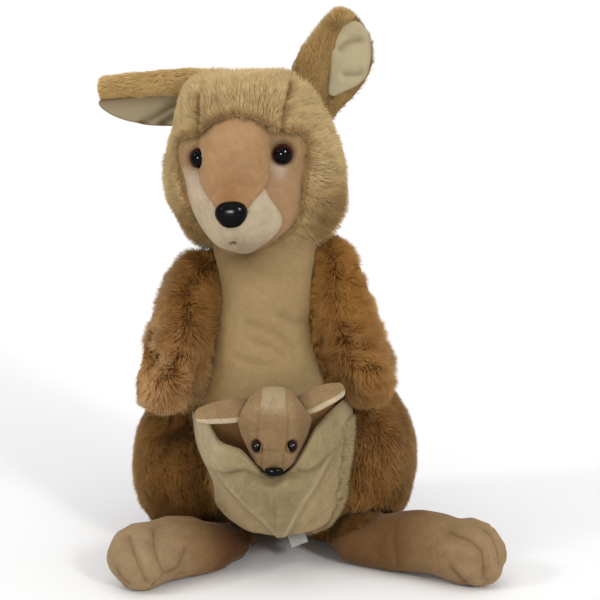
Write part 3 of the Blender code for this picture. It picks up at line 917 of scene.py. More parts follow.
@dataclass
class Coat:
    """Strands of pile, grown as small bent spikes over part of a skin.

    Args:
        name: the coat's name.
        finish: the colours of its strands.
        count: how many strands.
        length: their mean length in millimetres.
        width: their width at the root in millimetres.
        lean: how far they lie over, from 0, upright, to 1, flat.
        tousle: how much their direction wanders.
        clump: how far neighbours' tips draw together.
        clump_size: the space between clumps in millimetres.
        seed: start of its random numbers.
        soft: how far the strands take their light like the skin under them.
        variety: how much their brightness varies.
        uneven: how much their length varies.
        lit: the way in which their light is turned.
    """

    name: str
    finish: PileFinish
    count: int
    length: float
    width: float
    lean: float = 0.5
    tousle: float = 0.4
    clump: float = 0.4
    clump_size: float = 4.0
    seed: int = 1
    soft: float = 0.75
    variety: float = 0.06
    uneven: float = 0.15
    lit: Point = (0, 0, 0)

    def grow(self, ground: Ground, wanted: Array, lie: Lie,
             stature: Amount = lambda places: 1.0, shade: Amount = lambda places: 0.0,
             bloom: Amount = lambda places: np.zeros(len(places)),
             upright: Amount = lambda places: 0.0,
             clear_of: Sequence[Nearby] = (), slot: str = "fur_brown") -> Piece:
        """Grow the coat as one mesh.

        Args:
            ground: the skin that it grows from.
            wanted: for each of the skin's vertices, whether it grows there.
            lie: which way the pile lies.
            stature: share of the full length at each root.
            shade: brightness added at each root.
            bloom: how pale the tips are at each root, from 0 to 1.
            upright: how much straighter the pile stands at each root, from 0 to 1.
            clear_of: solids that no strand may enter.
            slot: the record's material slot.

        Returns:
            The coat's object.
        """
        rng = np.random.default_rng(self.seed)
        roots = ground.scatter(self.count, wanted, rng)
        tall = self.length * MM * rng.uniform(1 - self.uneven, 1 + 0.6 * self.uneven,
                                              len(roots.places))
        tall = tall * stature(roots.places)
        roots, tall = roots.keep(tall > 0.3 * MM), tall[tall > 0.3 * MM]
        lean = np.full(len(tall), self.lean) * (1 - upright(roots.places))
        middle, tip, start, end = self.bend(roots, tall, lean[:, None], lie, rng)
        for solid in clear_of:
            free = (solid.depth(middle, 0.012) > 0) & (solid.depth(tip, 0.012) > -0.001)
            roots, tall = roots.keep(free), tall[free]
            middle, tip, start, end = middle[free], tip[free], start[free], end[free]
        bright = 0.5 + rng.normal(0, self.variety, len(tall))
        bright += self.variety * (Ripple(0.006, self.seed + 5, 1).at(roots.places)[:, 0]
                                  + 0.8 * Ripple(0.002, self.seed + 6, 1).at(roots.places)[:, 0])
        bright += shade(roots.places)
        pale = np.clip(bloom(roots.places), 0, 1)
        piece = self.mesh(roots, middle, tip, start, end, bright, pale, rng)
        return dress(piece, self.finish, slot)

    def bend(self, roots: Roots, tall: Array, lean: Array, lie: Lie,
             rng: np.random.Generator) -> tuple[Array, ...]:
        """Return the middles, the tips and the directions of both halves of the strands.

        Args:
            roots: where the strands stand.
            tall: the strands' lengths.
            lean: how far each one leans.
            lie: which way they lie.
            rng: source of random numbers.

        Returns:
            The middles, the tips, and the directions of both halves.
        """
        normals = roots.normals
        flow = lie(roots.places, normals)
        flow = unit(flow - normals * (flow * normals).sum(axis=1, keepdims=True))
        wander = (Ripple(0.034, self.seed + 1).at(roots.places) * 0.5
                  + Ripple(0.011, self.seed + 2).at(roots.places) * 0.35
                  + rng.normal(0, 0.25, normals.shape)) * self.tousle
        start = unit(normals * (1 - 0.55 * lean) + flow * 0.55 * lean + wander * 0.6)
        end = unit(normals * (1 - lean) + flow * lean * 1.15 + wander * 1.3
                   - np.array([0, 0, 0.12]) * lean)
        foot = roots.places - normals * 0.4 * MM
        middle = foot + start * (0.5 * tall)[:, None]
        tip = middle + end * (0.5 * tall)[:, None]
        if self.clump > 0 and len(tall):
            leaders = first_in_cells(roots.places, self.clump_size * MM)
            tree = KDTree(len(leaders))
            for rank, leader in enumerate(leaders):
                tree.insert(roots.places[leader], rank)
            tree.balance()
            nearest = leaders[[tree.find(place)[1] for place in roots.places]]
            pull = (self.clump * rng.uniform(0.5, 1.1, len(tall)))[:, None]
            tip += (tip[nearest] - tip) * pull
            middle += (middle[nearest] - middle) * pull * 0.3
        for points in (middle, tip):
            points[:, 2] = np.maximum(points[:, 2], 0.4 * MM)
        return middle, tip, unit(middle - foot), unit(tip - middle)

    def mesh(self, roots: Roots, middle: Array, tip: Array, start: Array,
             end: Array, bright: Array, pale: Array,
             rng: np.random.Generator) -> Piece:
        """Build the spikes, three-sided, with their numbers and their unwrap.

        Args:
            roots: where the strands stand.
            middle: their middles.
            tip: their tips.
            start: directions of their lower halves.
            end: directions of their upper halves.
            bright: brightness to add.
            pale: share of pale tips.
            rng: source of random numbers.

        Returns:
            The coat.
        """
        count = len(tip)
        across = unit(np.cross(start, rng.normal(size=(count, 3))))
        up = np.cross(start, across)
        foot = roots.places - roots.normals * 0.4 * MM
        radius = self.width * MM / 2 * rng.uniform(0.75, 1.25, count)
        turns = np.array([[math.cos(2 * math.pi * k / 3), math.sin(2 * math.pi * k / 3)]
                          for k in range(3)])
        around = [across * cos + up * sin for cos, sin in turns]
        rings = [centre + out * (radius * share)[:, None]
                 for centre, share in ((foot, 1.0), (middle, 0.72)) for out in around]
        faces = []
        for k in range(3):
            j = (k + 1) % 3
            faces += [(k, j, 3 + j), (k, 3 + j, 3 + k), (3 + k, 3 + j, 6)]
        points = np.stack(rings + [tip], axis=1).reshape(-1, 3)
        triangles = (np.arange(count)[:, None, None] * 7 + np.array(faces)[None]).reshape(-1, 3)
        mesh_data = bpy.data.meshes.new(self.name)
        mesh_data.from_pydata(points, [], triangles)
        piece = Bench.add(self.name, mesh_data)
        mesh_data.shade_smooth()
        facing = unit(np.stack(around * 2 + [end], axis=1) * (1 - self.soft)
                      + unit(roots.normals + np.array(self.lit))[:, None] * self.soft)
        mesh_data.normals_split_custom_set_from_vertices(facing.reshape(-1, 3))
        Bench.paint(piece, "along", np.tile([0.0] * 3 + [0.5] * 3 + [1.0], count))
        Bench.paint(piece, "shade", np.repeat(bright, 7))
        Bench.paint(piece, "bloom", np.repeat(pale, 7))
        patch = np.concatenate([turns * 0.0016, turns * 0.0009, np.zeros((1, 2))])
        corners = roots.uv[:, None] + patch[None, :, :]
        layer = mesh_data.uv_layers.new(name="OFBake")
        layer.data.foreach_set("uv", corners.reshape(-1, 2)[triangles.ravel()].ravel())
        return piece


def outward(piece: Piece) -> None:
    """Turn all of a closed piece's faces outwards."""
    Bench.edit(piece, bpy.ops.mesh.normals_make_consistent, inside=False)


def groove(distance: Array, width: float, depth: float) -> Array:
    """Return how far a seam draws the cloth in, at distances from it, in millimetres."""
    return -depth * fall(distance, width)


def round_ball(name: str, node: str, segments: int, rings: int) -> Piece:
    """Add a smooth ball in a round solid's place, with its rim painted."""
    low, high = (np.array(corner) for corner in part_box(node))
    piece, directions = Bench.ball(name, segments, rings)
    Bench.move(piece, (low + high) / 2 + directions * (high - low).max() / 2)
    Bench.paint(piece, "rim", np.hypot(directions[:, 0], directions[:, 2]))
    return piece


# ------------------------------------------------------------------ head
@dataclass
class Face:
    """The short-pile face, sewn from a bridge, two cheeks and a pale muzzle."""

    centre_z: float = -12
    outline: Table = table({
        -90: 36.6, -80: 36.6, -70: 36, -58: 35.3, -39: 35.2, -24: 35, -8: 34.6, 11: 36.2,
        25: 41.5, 36: 45.2, 43: 44.4, 50: 41.5, 57: 39, 65: 39.8, 75: 41, 90: 41.6})
    edge: Table = table({
        -90: 42.5, -80: 42.3, -70: 40.4, -45: 31, 0: 30, 40: 31, 62: 38, 90: 43})
    cheek: float = 40
    bridge: float = 10.5
    snout: float = 23
    back: float = 18
    bridge_right: Table = table({
        -22: -11, -17: -17, -14.6: -20, -12.3: -22, -9: -23.4, -3.6: -24.2, 2: -24.4, 7: -24.2,
        13: -23.8, 20: -22.9, 32: -21})
    bridge_left: Table = table({
        -22: 6.3, -18.5: 8.6, -15.5: 10.8, -13: 12.9, -11: 14.5, -8.6: 16, -1: 17.6, 5: 18.5,
        13: 19, 20: 19.6, 32: 20})
    muzzle: Table = table({
        -54: -3, -48.5: 5, -46: 9.5, -42.8: 14.6, -37: 20.4, -30: 22.6, -25: 21.4, -17: 17.6,
        -11: 14.5, -7: 12})
    eyes: FlatLine = ((-23.6, 6.2), (24.9, 6.5))
    mouth: FlatLine = ((-6.4, -42.4), (-4.8, -41.5), (-3.3, -42.2))

    def bridge_depth(self, x: Array, z: Array) -> Array:
        """Return how far inside the bridge's seams a place lies."""
        sides = np.minimum(x - smooth_curve(self.bridge_right, z),
                           smooth_curve(self.bridge_left, z) - x)
        return np.minimum(sides, z + 22)

    def muzzle_depth(self, x: Array, z: Array) -> Array:
        """Return how far inside the muzzle's seams a place lies."""
        wider = 1 + 0.42 * ease(-x, 2, 12) * ease(-z, 18, 26)
        inside = smooth_curve(self.muzzle, z) * wider - np.abs(x)
        return np.minimum(np.minimum(inside, -self.bridge_depth(x, z)), -6 - z)

    def reach(self, x: Array, z: Array, share: Array,
              level: Array) -> Array:
        """Return how far forward the face stands, share of the way to its outline."""
        edge = smooth_curve(self.edge, level)
        rise = self.bridge * ease(self.bridge_depth(x, z), -4.0, 10.0)
        snout = self.snout * np.exp(-(np.abs(x / 20) ** 3 + np.abs((z + 30) / 19) ** 3.5))
        middle = self.cheek + (rise ** 4 + snout ** 4) ** 0.25
        return edge + (middle - edge) * np.sqrt(np.maximum(0, 1 - share ** 4))

    def sewing(self, x: Array, z: Array) -> tuple[Array, Array]:
        """Return how far the seams draw the face in, and how dark they are, with painted shade
        under the chin.

        Args:
            x: place across, on the head's grid.
            z: place up.

        Returns:
            Both, for every place.
        """
        bridge = np.abs(self.bridge_depth(x, z))
        muzzle = np.abs(self.muzzle_depth(x, z))
        middle = np.where((z < -27) & (z > -42), np.abs(x + 1.5 - (z + 27) * 0.08), 9.0)
        stitch = distance_to_line(np.stack([x, z], axis=1), self.mouth)
        plain = 1 - 0.8 * ease(-x, 12, 18)
        drawn = (groove(bridge, 1.6, 0.5) + groove(muzzle, 1.4, 0.5) * plain
                 + groove(middle, 1.6, 0.6) + groove(stitch, 1.6, 1.4))
        dark = (0.2 * fall(bridge, 0.9) + 0.12 * fall(muzzle, 0.9) * plain
                + 0.14 * fall(middle, 0.8) + 1.2 * fall(stitch, 0.65))
        # Painted shade darkens the lower chin.
        dark = dark + 0.26 * ease(-z, 34, 46) * ease(x, -18, 0)
        for ex, ez in self.eyes:
            away = np.hypot(x - ex, z - ez)
            beside = ease(-self.bridge_depth(x, z), -0.5, 2.0)
            drawn += beside * (groove(away - 5.6, 1.5, 1.2)
                               + 0.6 * fall(away - 8.6, 2.2))
            dark += beside * 0.4 * fall(away - 5.6, 0.8)
        return drawn, dark

    def make(self) -> Piece:
        """Return the face."""
        piece, directions = Bench.ball("face", 288, 136)
        polar = np.arccos(np.clip(-directions[:, 1], -1, 1)) / math.pi
        angle = np.arctan2(directions[:, 2], directions[:, 0])
        level = np.degrees(np.arctan2(np.sin(angle), np.abs(np.cos(angle))))
        share = np.where(polar < 0.74, np.sin(np.clip(polar / 0.74, 0, 1) * math.pi / 2) ** 1.05,
                         1 - 0.12 * ease(polar, 0.74, 0.8))
        share = np.where(polar > 0.8, 0.88 * (1 - polar) / 0.2, share)
        radius = smooth_curve(self.outline, level) * share \
            * (1 + 0.05 * ease(-level, 25, 60) * ease(-np.cos(angle), -0.5, 0.5))
        x, z = radius * np.cos(angle), self.centre_z + radius * np.sin(angle)
        front = -self.reach(x, z, np.minimum(share, 1), level)
        drawn, dark = self.sewing(x, z)
        y = np.where(polar < 0.74, front, -self.back - (-front - self.back)
                     * (1 - ease(polar, 0.74, 0.8)))
        Bench.move(piece, HEAD.out(np.stack([x, y, z], axis=1)))
        outward(piece)
        ahead = (polar < 0.74)
        swell = Ripple(0.012, 31, 1).at(Bench.places(piece))[:, 0] * 0.35
        Bench.push(piece, ahead * (drawn + swell * (1 - share ** 4)) * MM)
        Bench.paint(piece, "bridge", self.bridge_depth(x, z))
        Bench.paint(piece, "warm", 8 - np.hypot((x + 3) * 0.9, (z + 18) * 0.6)
                    - 30 * (self.bridge_depth(x, z) < 0))
        spot = 4.5 - np.hypot((x - 22.5) * 1.2, (z + 0.5) * 0.8)
        Bench.paint(piece, "pale", np.maximum(np.minimum(-17 - x, -1 - z), spot))
        Bench.paint(piece, "brow", z - 1 - 8 * (x < 0))
        Bench.paint(piece, "muzzle", self.muzzle_depth(x, z)
                    * (1 - 0.92 * ease(-x, 14, 20) * ease(z, -32, -24)))
        Bench.paint(piece, "seam", np.clip(dark, 0, 1))
        return piece


@dataclass
class Leaf:
    """An ear: a cupped leaf with one long edge rolled over.

    Places across it are millimetres from its middle line, positive towards its free edge.

    Args:
        name: the ear's piece name.
        root: the start of its middle line.
        tip: the end of that line.
        facing: the way its hollow looks.
        rolled: the side of the rolled edge.
        edges: where its rolled and its free edge run, by place along it.
        lining: where its lining's edges run.
        creases: folds in the lining, as places along it in millimetres and across it.
    """

    name: str
    root: Point
    tip: Point
    facing: Point
    rolled: int
    edges: Edges
    lining: Edges = ({0: 0}, {0: 0})
    creases: tuple[FlatLine, ...] = ()
    cup: float = 6
    thickness: float = 6.5
    roll: float = 5.5
    grid: Grid = HEAD

    def frame(self) -> tuple[Array, Array, Array]:
        """Return the ear's own directions: along it, towards its free edge, and its hollow's."""
        axis = unit(np.subtract(self.tip, self.root).astype(float))
        across = unit(np.cross(axis, self.facing))
        return axis, -self.rolled * across, unit(np.cross(across, axis))

    def at(self, places: Array) -> tuple[Array, Array]:
        """Return how far along the ear, from 0 to 1, and how far across it some places lie."""
        axis, free, _ = self.frame()
        local = self.grid.into(places) - np.array(self.root, dtype=float)
        return local @ axis / np.linalg.norm(np.subtract(self.tip, self.root)), local @ free

    def surface(self, at: Array, c: Array, s: Array,
                outline: Edges, thin: float = 0.0,
                lift: float = 0.0, flat: float | None = None) -> Array:
        """Return points of the ear.

        Args:
            at: place from the root, 0, to the tip, 1.
            c: place across, from -1 at the rolled edge to 1 at the free edge.
            s: 1 on the front, -1 on the back, less towards the edges.
            outline: where the two edges run.
            thin: how far the surface lies under the full outline.
            lift: how far it is lifted off the hollow.
            flat: its thickness, where that isn't the ear's own.

        Returns:
            The points, in metres.
        """
        _, free, normal = self.frame()
        rolled_edge, free_edge = (smooth_curve(edge, at) for edge in self.edges)
        near, far = (smooth_curve(edge, at) for edge in outline)
        half = np.maximum((far - near) / 2 - thin, 0.3)
        spread = (near + far) / 2 + half * c
        middle = np.asarray(self.root, float) + np.subtract(self.tip, self.root) * at[:, None]
        width = np.maximum(free_edge, -rolled_edge)
        hollow = self.cup * np.minimum(width / 18, 1) * (1 - (spread / width) ** 2)
        thick = (self.thickness if flat is None else flat) / 2 - thin
        bulge = 0 if flat is not None else self.roll * np.abs(s) \
            * ease(spread / rolled_edge, -0.15, 0.6)
        raised = np.where(s > 0, thick * s + bulge, thick * s)
        return self.grid.out(middle + free * spread[:, None]
                             + normal * (lift - hollow + raised)[:, None])

    def make(self, name: str, segments: int = 72, rings: int = 72,
             reach: tuple[float, float] = (0.0, 1.0), lining: bool = False, **place: float
             ) -> tuple[Piece, Array, Array, Array]:
        """Return a closed shape on the ear's surface, with where each vertex lies on it.

        Args:
            name: the shape's name.
            segments: faces around it.
            rings: rows of faces.
            reach: its two ends along the ear.
            lining: whether it keeps to the lining's outline.
            place: thin, lift and flat for the surface.

        Returns:
            The shape, and each vertex's place along, across and around.
        """
        piece, directions = Bench.ball(name, segments, rings)
        along = (1 + directions[:, 1]) / 2
        size = np.maximum(np.hypot(directions[:, 0], directions[:, 2]), 1e-9)
        c, s = directions[:, 0] / size, directions[:, 2] / size
        closing = np.clip(size / 0.35, 0, 1) ** 0.7
        c, s = c * closing, s * closing
        at = reach[0] + (reach[1] - reach[0]) * along
        Bench.move(piece, self.surface(at, c, s, self.lining if lining else self.edges, **place))
        outward(piece)
        return piece, along, c, s


@dataclass
class Head:
    """The head: its hood of long fur, its face, its ears, its eyes and its nose."""

    face: Face = field(default_factory=Face)
    pile: float = 7.0
    neck: Bump = ((0, -4, 190), 34, 50)
    fuller: tuple[Bump, ...] = (
        ((-31, 0, 45), 16, 4), ((-37, 5, -50), 15, 4.5))
    # The hood's lower corners, darkened with painted shade.
    corners: tuple[Bump, ...] = (((46, -16, -34), 17, 1), ((-33, -22, -37), 17, 1))
    partings: tuple[Line, ...] = (
        ((28.9, -16.3, 45.5), (29.7, -30, 38.4), (28.8, -37.7, 30.8), (26.8, -42.1, 22.9)),
        ((-24.6, -32.8, 41.4), (-24.2, -40.1, 32.5), (-23.5, -44.2, 22.8)))
    ears: tuple[Leaf, ...] = (
        Leaf("ear_R", (-14, 12, 35), (-95.5, 5.8, 38.1), (-0.1, -1, -0.3), 1,
             ({0: -16, 0.3: -18.3, 0.6: -17.2, 0.8: -15.9, 0.93: -14.5, 0.98: -12.5, 1: -9},
              {0: 20, 0.35: 20, 0.5: 18.5, 0.6: 17.6, 0.7: 15.9, 0.8: 13.8, 0.9: 10.6, 0.96: 7.4,
               1: 3}),
             ({0.3: -2, 0.4: -1.4, 0.7: -0.5, 0.9: 0.8, 0.97: 1.2},
              {0.3: 18, 0.5: 17.2, 0.6: 16.6, 0.7: 15, 0.8: 12.9, 0.9: 9.4, 0.97: 5}),
             creases=(((54.7, 16), (42, 9.5), (29, 2.9)), ((42.4, 16), (27.5, 7.8)))),
        Leaf("ear_L", (33, 13, 15), (64, 16, 84), (0.35, -1, 0.1), -1,
             ({0: -15, 0.2: -21, 0.4: -23.5, 0.5: -22.4, 0.6: -20.2, 0.7: -18, 0.8: -15.6,
               0.9: -12.5, 0.96: -11, 1: -9},
              {0: 11, 0.2: 15.3, 0.3: 18.9, 0.4: 21.2, 0.5: 22.8, 0.6: 22.9, 0.7: 20.5, 0.8: 15,
               0.86: 9, 0.92: 2.5, 1: 0}),
             ({0.27: 3, 0.33: 1.5, 0.4: 0.4, 0.5: -1.8, 0.6: -4.3, 0.7: -5.8, 0.8: -3.5, 0.88: 1},
              {0.27: 7, 0.33: 11, 0.4: 16, 0.5: 19.8, 0.6: 19.4, 0.7: 17.4, 0.8: 13.6,
               0.88: 7}),
             creases=(((48, 0), (53, 3), (56, 8)), ((35, 8), (37, 13), (39, 16)))))

    def build(self) -> None:
        """Build and dress every piece of the head."""
        self.make_hood()
        face = self.face.make()
        dress(face, FACE_VELOUR, "velour_tan", "face", fill=0.7)
        for ear in self.ears:
            self.make_ear(ear)
        for side in Side:
            name = "eye_" + side.letter
            ball = round_ball(name + "_ball", name, 48, 24)
            Bench.move(ball, Bench.places(ball)
                       + HEAD.axes @ np.array([0.8 + side.value * 0.9, 0, 1.1]) * MM)
            dress(ball, EYE_PLASTIC, "plastic_black", name)
        self.make_nose()

    def in_face(self, places: Array) -> Array:
        """Return each place's share of the way from the face's middle to its outline."""
        x, y, z = HEAD.into(places).T
        up = z - self.face.centre_z
        level = np.degrees(np.arctan2(up, np.abs(x)))
        share = np.hypot(x, up) / smooth_curve(self.face.outline, level)
        return np.where(y < -10, share, 9.0)

    def make_hood(self) -> None:
        """Make the hood's skin and grow its fur, lying back from the face."""
        (x, y, z), radius, height = self.neck
        Bench.only(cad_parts["hood"])
        bpy.ops.mesh.primitive_cylinder_add(vertices=48, radius=radius * MM, depth=height * MM,
                                            location=TOY.out(np.array([x, y, z - height / 2])))
        plug = Bench.made("neck_plug")
        bpy.ops.object.transform_apply(location=True)
        skin = Skin("hood_skin", ("hood", "face"), 1.6, relax=14).make(plug)
        places = Bench.places(skin)
        local = HEAD.into(places)
        rise = 1.2 * ease(local[:, 2], 30, 50)
        Bench.push(skin, filled_out(rise, local, self.fuller) * MM)
        places = Bench.places(skin)
        places[:, 0] += 2.5 * MM * ease(-HEAD.into(places)[:, 2], 15, 35)
        Bench.move(skin, places)
        share = self.in_face(places)
        near = ease(share, 0.98, 1.2)
        depth = np.where(share < 0.95, 9.0, 1.6 + (self.pile - 1.4 - 1.6) * near)
        Bench.push(skin, -depth * MM)
        Bench.apply(skin, "SMOOTH", factor=0.5, iterations=6)
        dress(skin, UNDER_TAN, "fur_tan", "hood")
        ground = Ground(skin)
        places = ground.places
        share = self.in_face(places)
        local = HEAD.into(places)
        level = TOY.into(places)[:, 2]
        wanted = (share > 0.985) & (level > 182)
        centre = HEAD.out(np.array([0, -50, -12.0]))

        lines = [local[np.linalg.norm(local[None] - rounded(line)[:, None], axis=2).argmin(axis=1)]
                 for line in self.partings]

        def parted(spots: Array) -> Array:
            """Return the distance to the nearest parting."""
            return np.min([distance_to_line(HEAD.into(spots), line) for line in lines], axis=0)

        def stature(spots: Array) -> Array:
            """Return how tall the pile stands, low at its edge and its partings."""
            away = parted(spots)
            return (0.6 + 0.4 * ease(self.in_face(spots), 1.0, 1.3)) \
                * (0.2 + 0.8 * ease(away, 0.0, 3.2))

        def upright(spots: Array) -> Array:
            """Return how far the pile stands up around the face."""
            return 1.15 * (1 - ease(self.in_face(spots), 0.99, 1.10))

        def lower(spots: Array) -> Array:
            """Return the share of the hood's lower corners, which are darkened with painted shade.
            """
            return filled_out(np.zeros(len(spots)), HEAD.into(spots), self.corners)

        def shade(spots: Array) -> Array:
            """Return the brightness to add: painted shade in the partings, in the lower corners and
            along the face's edge, and painted light on the top.
            """
            away = parted(spots)
            return -0.6 * fall(away, 1.5) - 0.32 * lower(spots) \
                + 0.1 * ease(HEAD.into(spots)[:, 2], 30, 42) \
                - 0.26 * fall(self.in_face(spots) - 1, 0.035)

        def bloom(spots: Array) -> Array:
            """Return the share of tips in the darker warm bloom colour, painted shade in the lower
            corners, along the face's edge and in the partings.
            """
            return 1.5 * lower(spots) + 0.55 * fall(self.in_face(spots) - 1.0, 0.06) \
                + 0.5 * fall(parted(spots), 3)

        halves = {"hood_fur_front": local[:, 1] < -6, "hood_fur_back": local[:, 1] >= -6}
        for seed, (name, half) in enumerate(halves.items()):
            Coat(name, HOOD_FUR, 21500 - 5500 * seed, self.pile, 0.45, lean=0.56, tousle=0.26,
                 clump=0.3, clump_size=2.6, variety=0.09, seed=11 + seed,
                 lit=(0, -0.4, 0.4)).grow(
                ground, wanted & half, lying_from(centre, 0.15), stature, shade, bloom, upright,
                slot="fur_tan", clear_of=(Nearby("face"),))

    def make_ear(self, ear: Leaf) -> None:
        """Make one ear, its lining and its fur.

        Args:
            ear: the ear's form.
        """
        piece, _, _, s = ear.make(ear.name + "_skin", thin=2.0,
                                  reach=(0.0, 0.955 if ear.rolled > 0 else 0.93))
        dress(piece, UNDER_TAN, "fur_tan", ear.name)
        ground = Ground(piece)
        at, spread = ear.at(ground.places)
        low, high = (smooth_curve(edge, at) for edge in ear.lining)
        lined = (s > 0.25) & (spread > low + 1) & (spread < high - 1) & (at < 0.9)

        def stature(spots: Array) -> Array:
            """Return how tall the pile stands, low at the ear's tip."""
            return 1 - 0.45 * ease(ear.at(spots)[0], 0.85, 0.98)

        def bloom(spots: Array) -> Array:
            """Return the share of pale tips: painted light along ear_R's rolled band, and paler
            toward ear_L's tip.
            """
            at, spread = ear.at(spots)
            return 0.2 + 0.8 * (ear.rolled > 0) * ease(-spread, -4, 8) \
                + 0.7 * (ear.rolled < 0) * ease(at, 0.7, 0.92)

        def shade(spots: Array) -> Array:
            """Return the brightness to add: painted light over ear_R, brighter toward ear_L's tip,
            and painted shade beside the lining's edge.
            """
            at, spread = ear.at(spots)
            return (0.32 if ear.rolled > 0 else -0.05 + 0.16 * ease(at, 0.7, 0.92)) \
                - 0.16 * fall(spread - smooth_curve(ear.lining[0], at), 2.5)

        axis, free, _ = ear.frame()
        way = ear.grid.axes @ (axis - 0.25 * free * (ear.rolled < 0))
        Coat(ear.name + "_fur", EAR_FUR, 10500, 4.5, 0.42, lean=0.74, tousle=0.3, clump=0.2,
             clump_size=2.4, variety=0.045, seed=21 + ear.rolled).grow(
            ground, ~lined, lying(way), stature, shade, bloom, slot="fur_tan")
        lining, _, _, s = ear.make(
            ear.name + "_lining_cloth", reach=(min(ear.lining[0]), max(ear.lining[0])),
            lining=True, lift=2.8, flat=2.6)
        at, spread = ear.at(Bench.places(lining))
        flat = np.stack([at * np.linalg.norm(np.subtract(ear.tip, ear.root)), spread], axis=1)
        away = np.min([distance_to_line(flat, rounded(line)) for line in ear.creases], axis=0)
        Bench.push(lining, groove(away, 2.6, 1.8) * (s > 0) * MM)
        low, high = (smooth_curve(edge, at) for edge in ear.lining)
        rim = np.minimum(spread - low, high - spread)
        # Painted shade in the lining's creases and, on ear_R, over the whole lining and under the
        # rolled band; its sewn edge is darker too.
        Bench.paint(lining, "seam", 0.42 * fall(away, 1.3) + 0.25 * (1 - ease(rim, 0, 2))
                    + (ear.rolled > 0) * (0.38 + 0.3 * fall(spread - low, 5)))
        dress(lining, LINING_VELOUR, "velour_cream", ear.name.replace("ear", "ear_lining"))

    def make_nose(self) -> None:
        """Make the hard nose, wide above and narrow below."""
        low, high = (np.array(corner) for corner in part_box("nose"))
        piece, directions = Bench.ball("nose_bead", 64, 40)
        full = (np.abs(directions) ** 2.5).sum(axis=1) ** (-1 / 2.5)
        x, y, z = (directions * full[:, None]).T
        narrow = 1 - 0.22 * ease(-z, -0.2, 1.0)
        shape = np.stack([x * narrow, y, z * 0.97], axis=1)
        shape = shape * np.array([9.3, 6.2, 7.7]) + np.array([-2.1, 0, -0.9])
        Bench.move(piece, (low + high) / 2 + shape @ HEAD.axes.T * MM)
        Bench.paint(piece, "rim", np.zeros(len(directions)))
        outward(piece)
        dress(piece, NOSE_PLASTIC, "plastic_black", "nose")


# ------------------------------------------------------------------ body
@dataclass(frozen=True)
class Arm:
    """The fur of one arm, which parts along it and falls to both sides.

    Args:
        name: the arm's solid.
        path: the line along which it parts.
        bright: brightness added at the shoulder and at the paw.
        edge: brightness added at its outer edge, as painted sheen.
        pale: how pale its tips are at the paw.
    """

    name: str
    path: Line
    bright: tuple[float, float]
    edge: float
    pale: float

    def grow(self, ground: Ground, wanted: Array, pile: float, seed: int,
             blocks: Sequence[Nearby]) -> None:
        """Grow the arm's fur.

        Args:
            ground: the body's skin.
            wanted: whether the arm has each vertex.
            pile: the strands' length.
            seed: start of its random numbers.
            blocks: solids that the fur keeps out of.
        """
        line = TOY.out(np.array(self.path, dtype=float) + np.array([0, -14, 0]))
        axis = unit(line[-1] - line[0])
        side = np.sign(self.path[0][0])

        def down(spots: Array) -> Array:
            """Return the way down the arm, in decimetres."""
            return (spots - line[0]) @ axis / (100 * MM)

        def beside(spots: Array, low: float, high: float) -> Array:
            """Return the share of being out on one side of the arm."""
            middle = (1 - down(spots)) * 37.5 + down(spots) * 64
            away = (TOY.into(spots)[:, 0] - middle * side) * np.sign(side * low)
            return ease(away, abs(low), high)

        def shade(spots: Array) -> Array:
            """Return the brightness to add: a change from shoulder to paw, painted sheen on the
            outer side, and painted shade on the inner side and along the parting.
            """
            low, high = self.bright
            parted = distance_to_line(spots, line) / MM
            return low + (high - low) * ease(down(spots), 0.1, 0.9) \
                + self.edge * beside(spots, 3, 15) - 0.17 * beside(spots, -2, 13) \
                - 0.08 * fall(parted, 7) * (1 - 0.6 * ease(down(spots), 0.5, 1.0))

        def bloom(spots: Array) -> Array:
            """Return the share of pale tips: painted sheen on the outer side, and paler toward the
            paw.
            """
            return 0.8 * beside(spots, 2, 14) + self.pale * ease(down(spots), 0.3, 0.85)

        Coat(self.name + "_fur", BODY_FUR, 18500, pile, 0.5, lean=0.6, tousle=0.75, clump=0.34,
             clump_size=3.0, seed=seed).grow(ground, wanted, lying_beside(line, 0.95),
                                             shade=shade, bloom=bloom, clear_of=blocks)


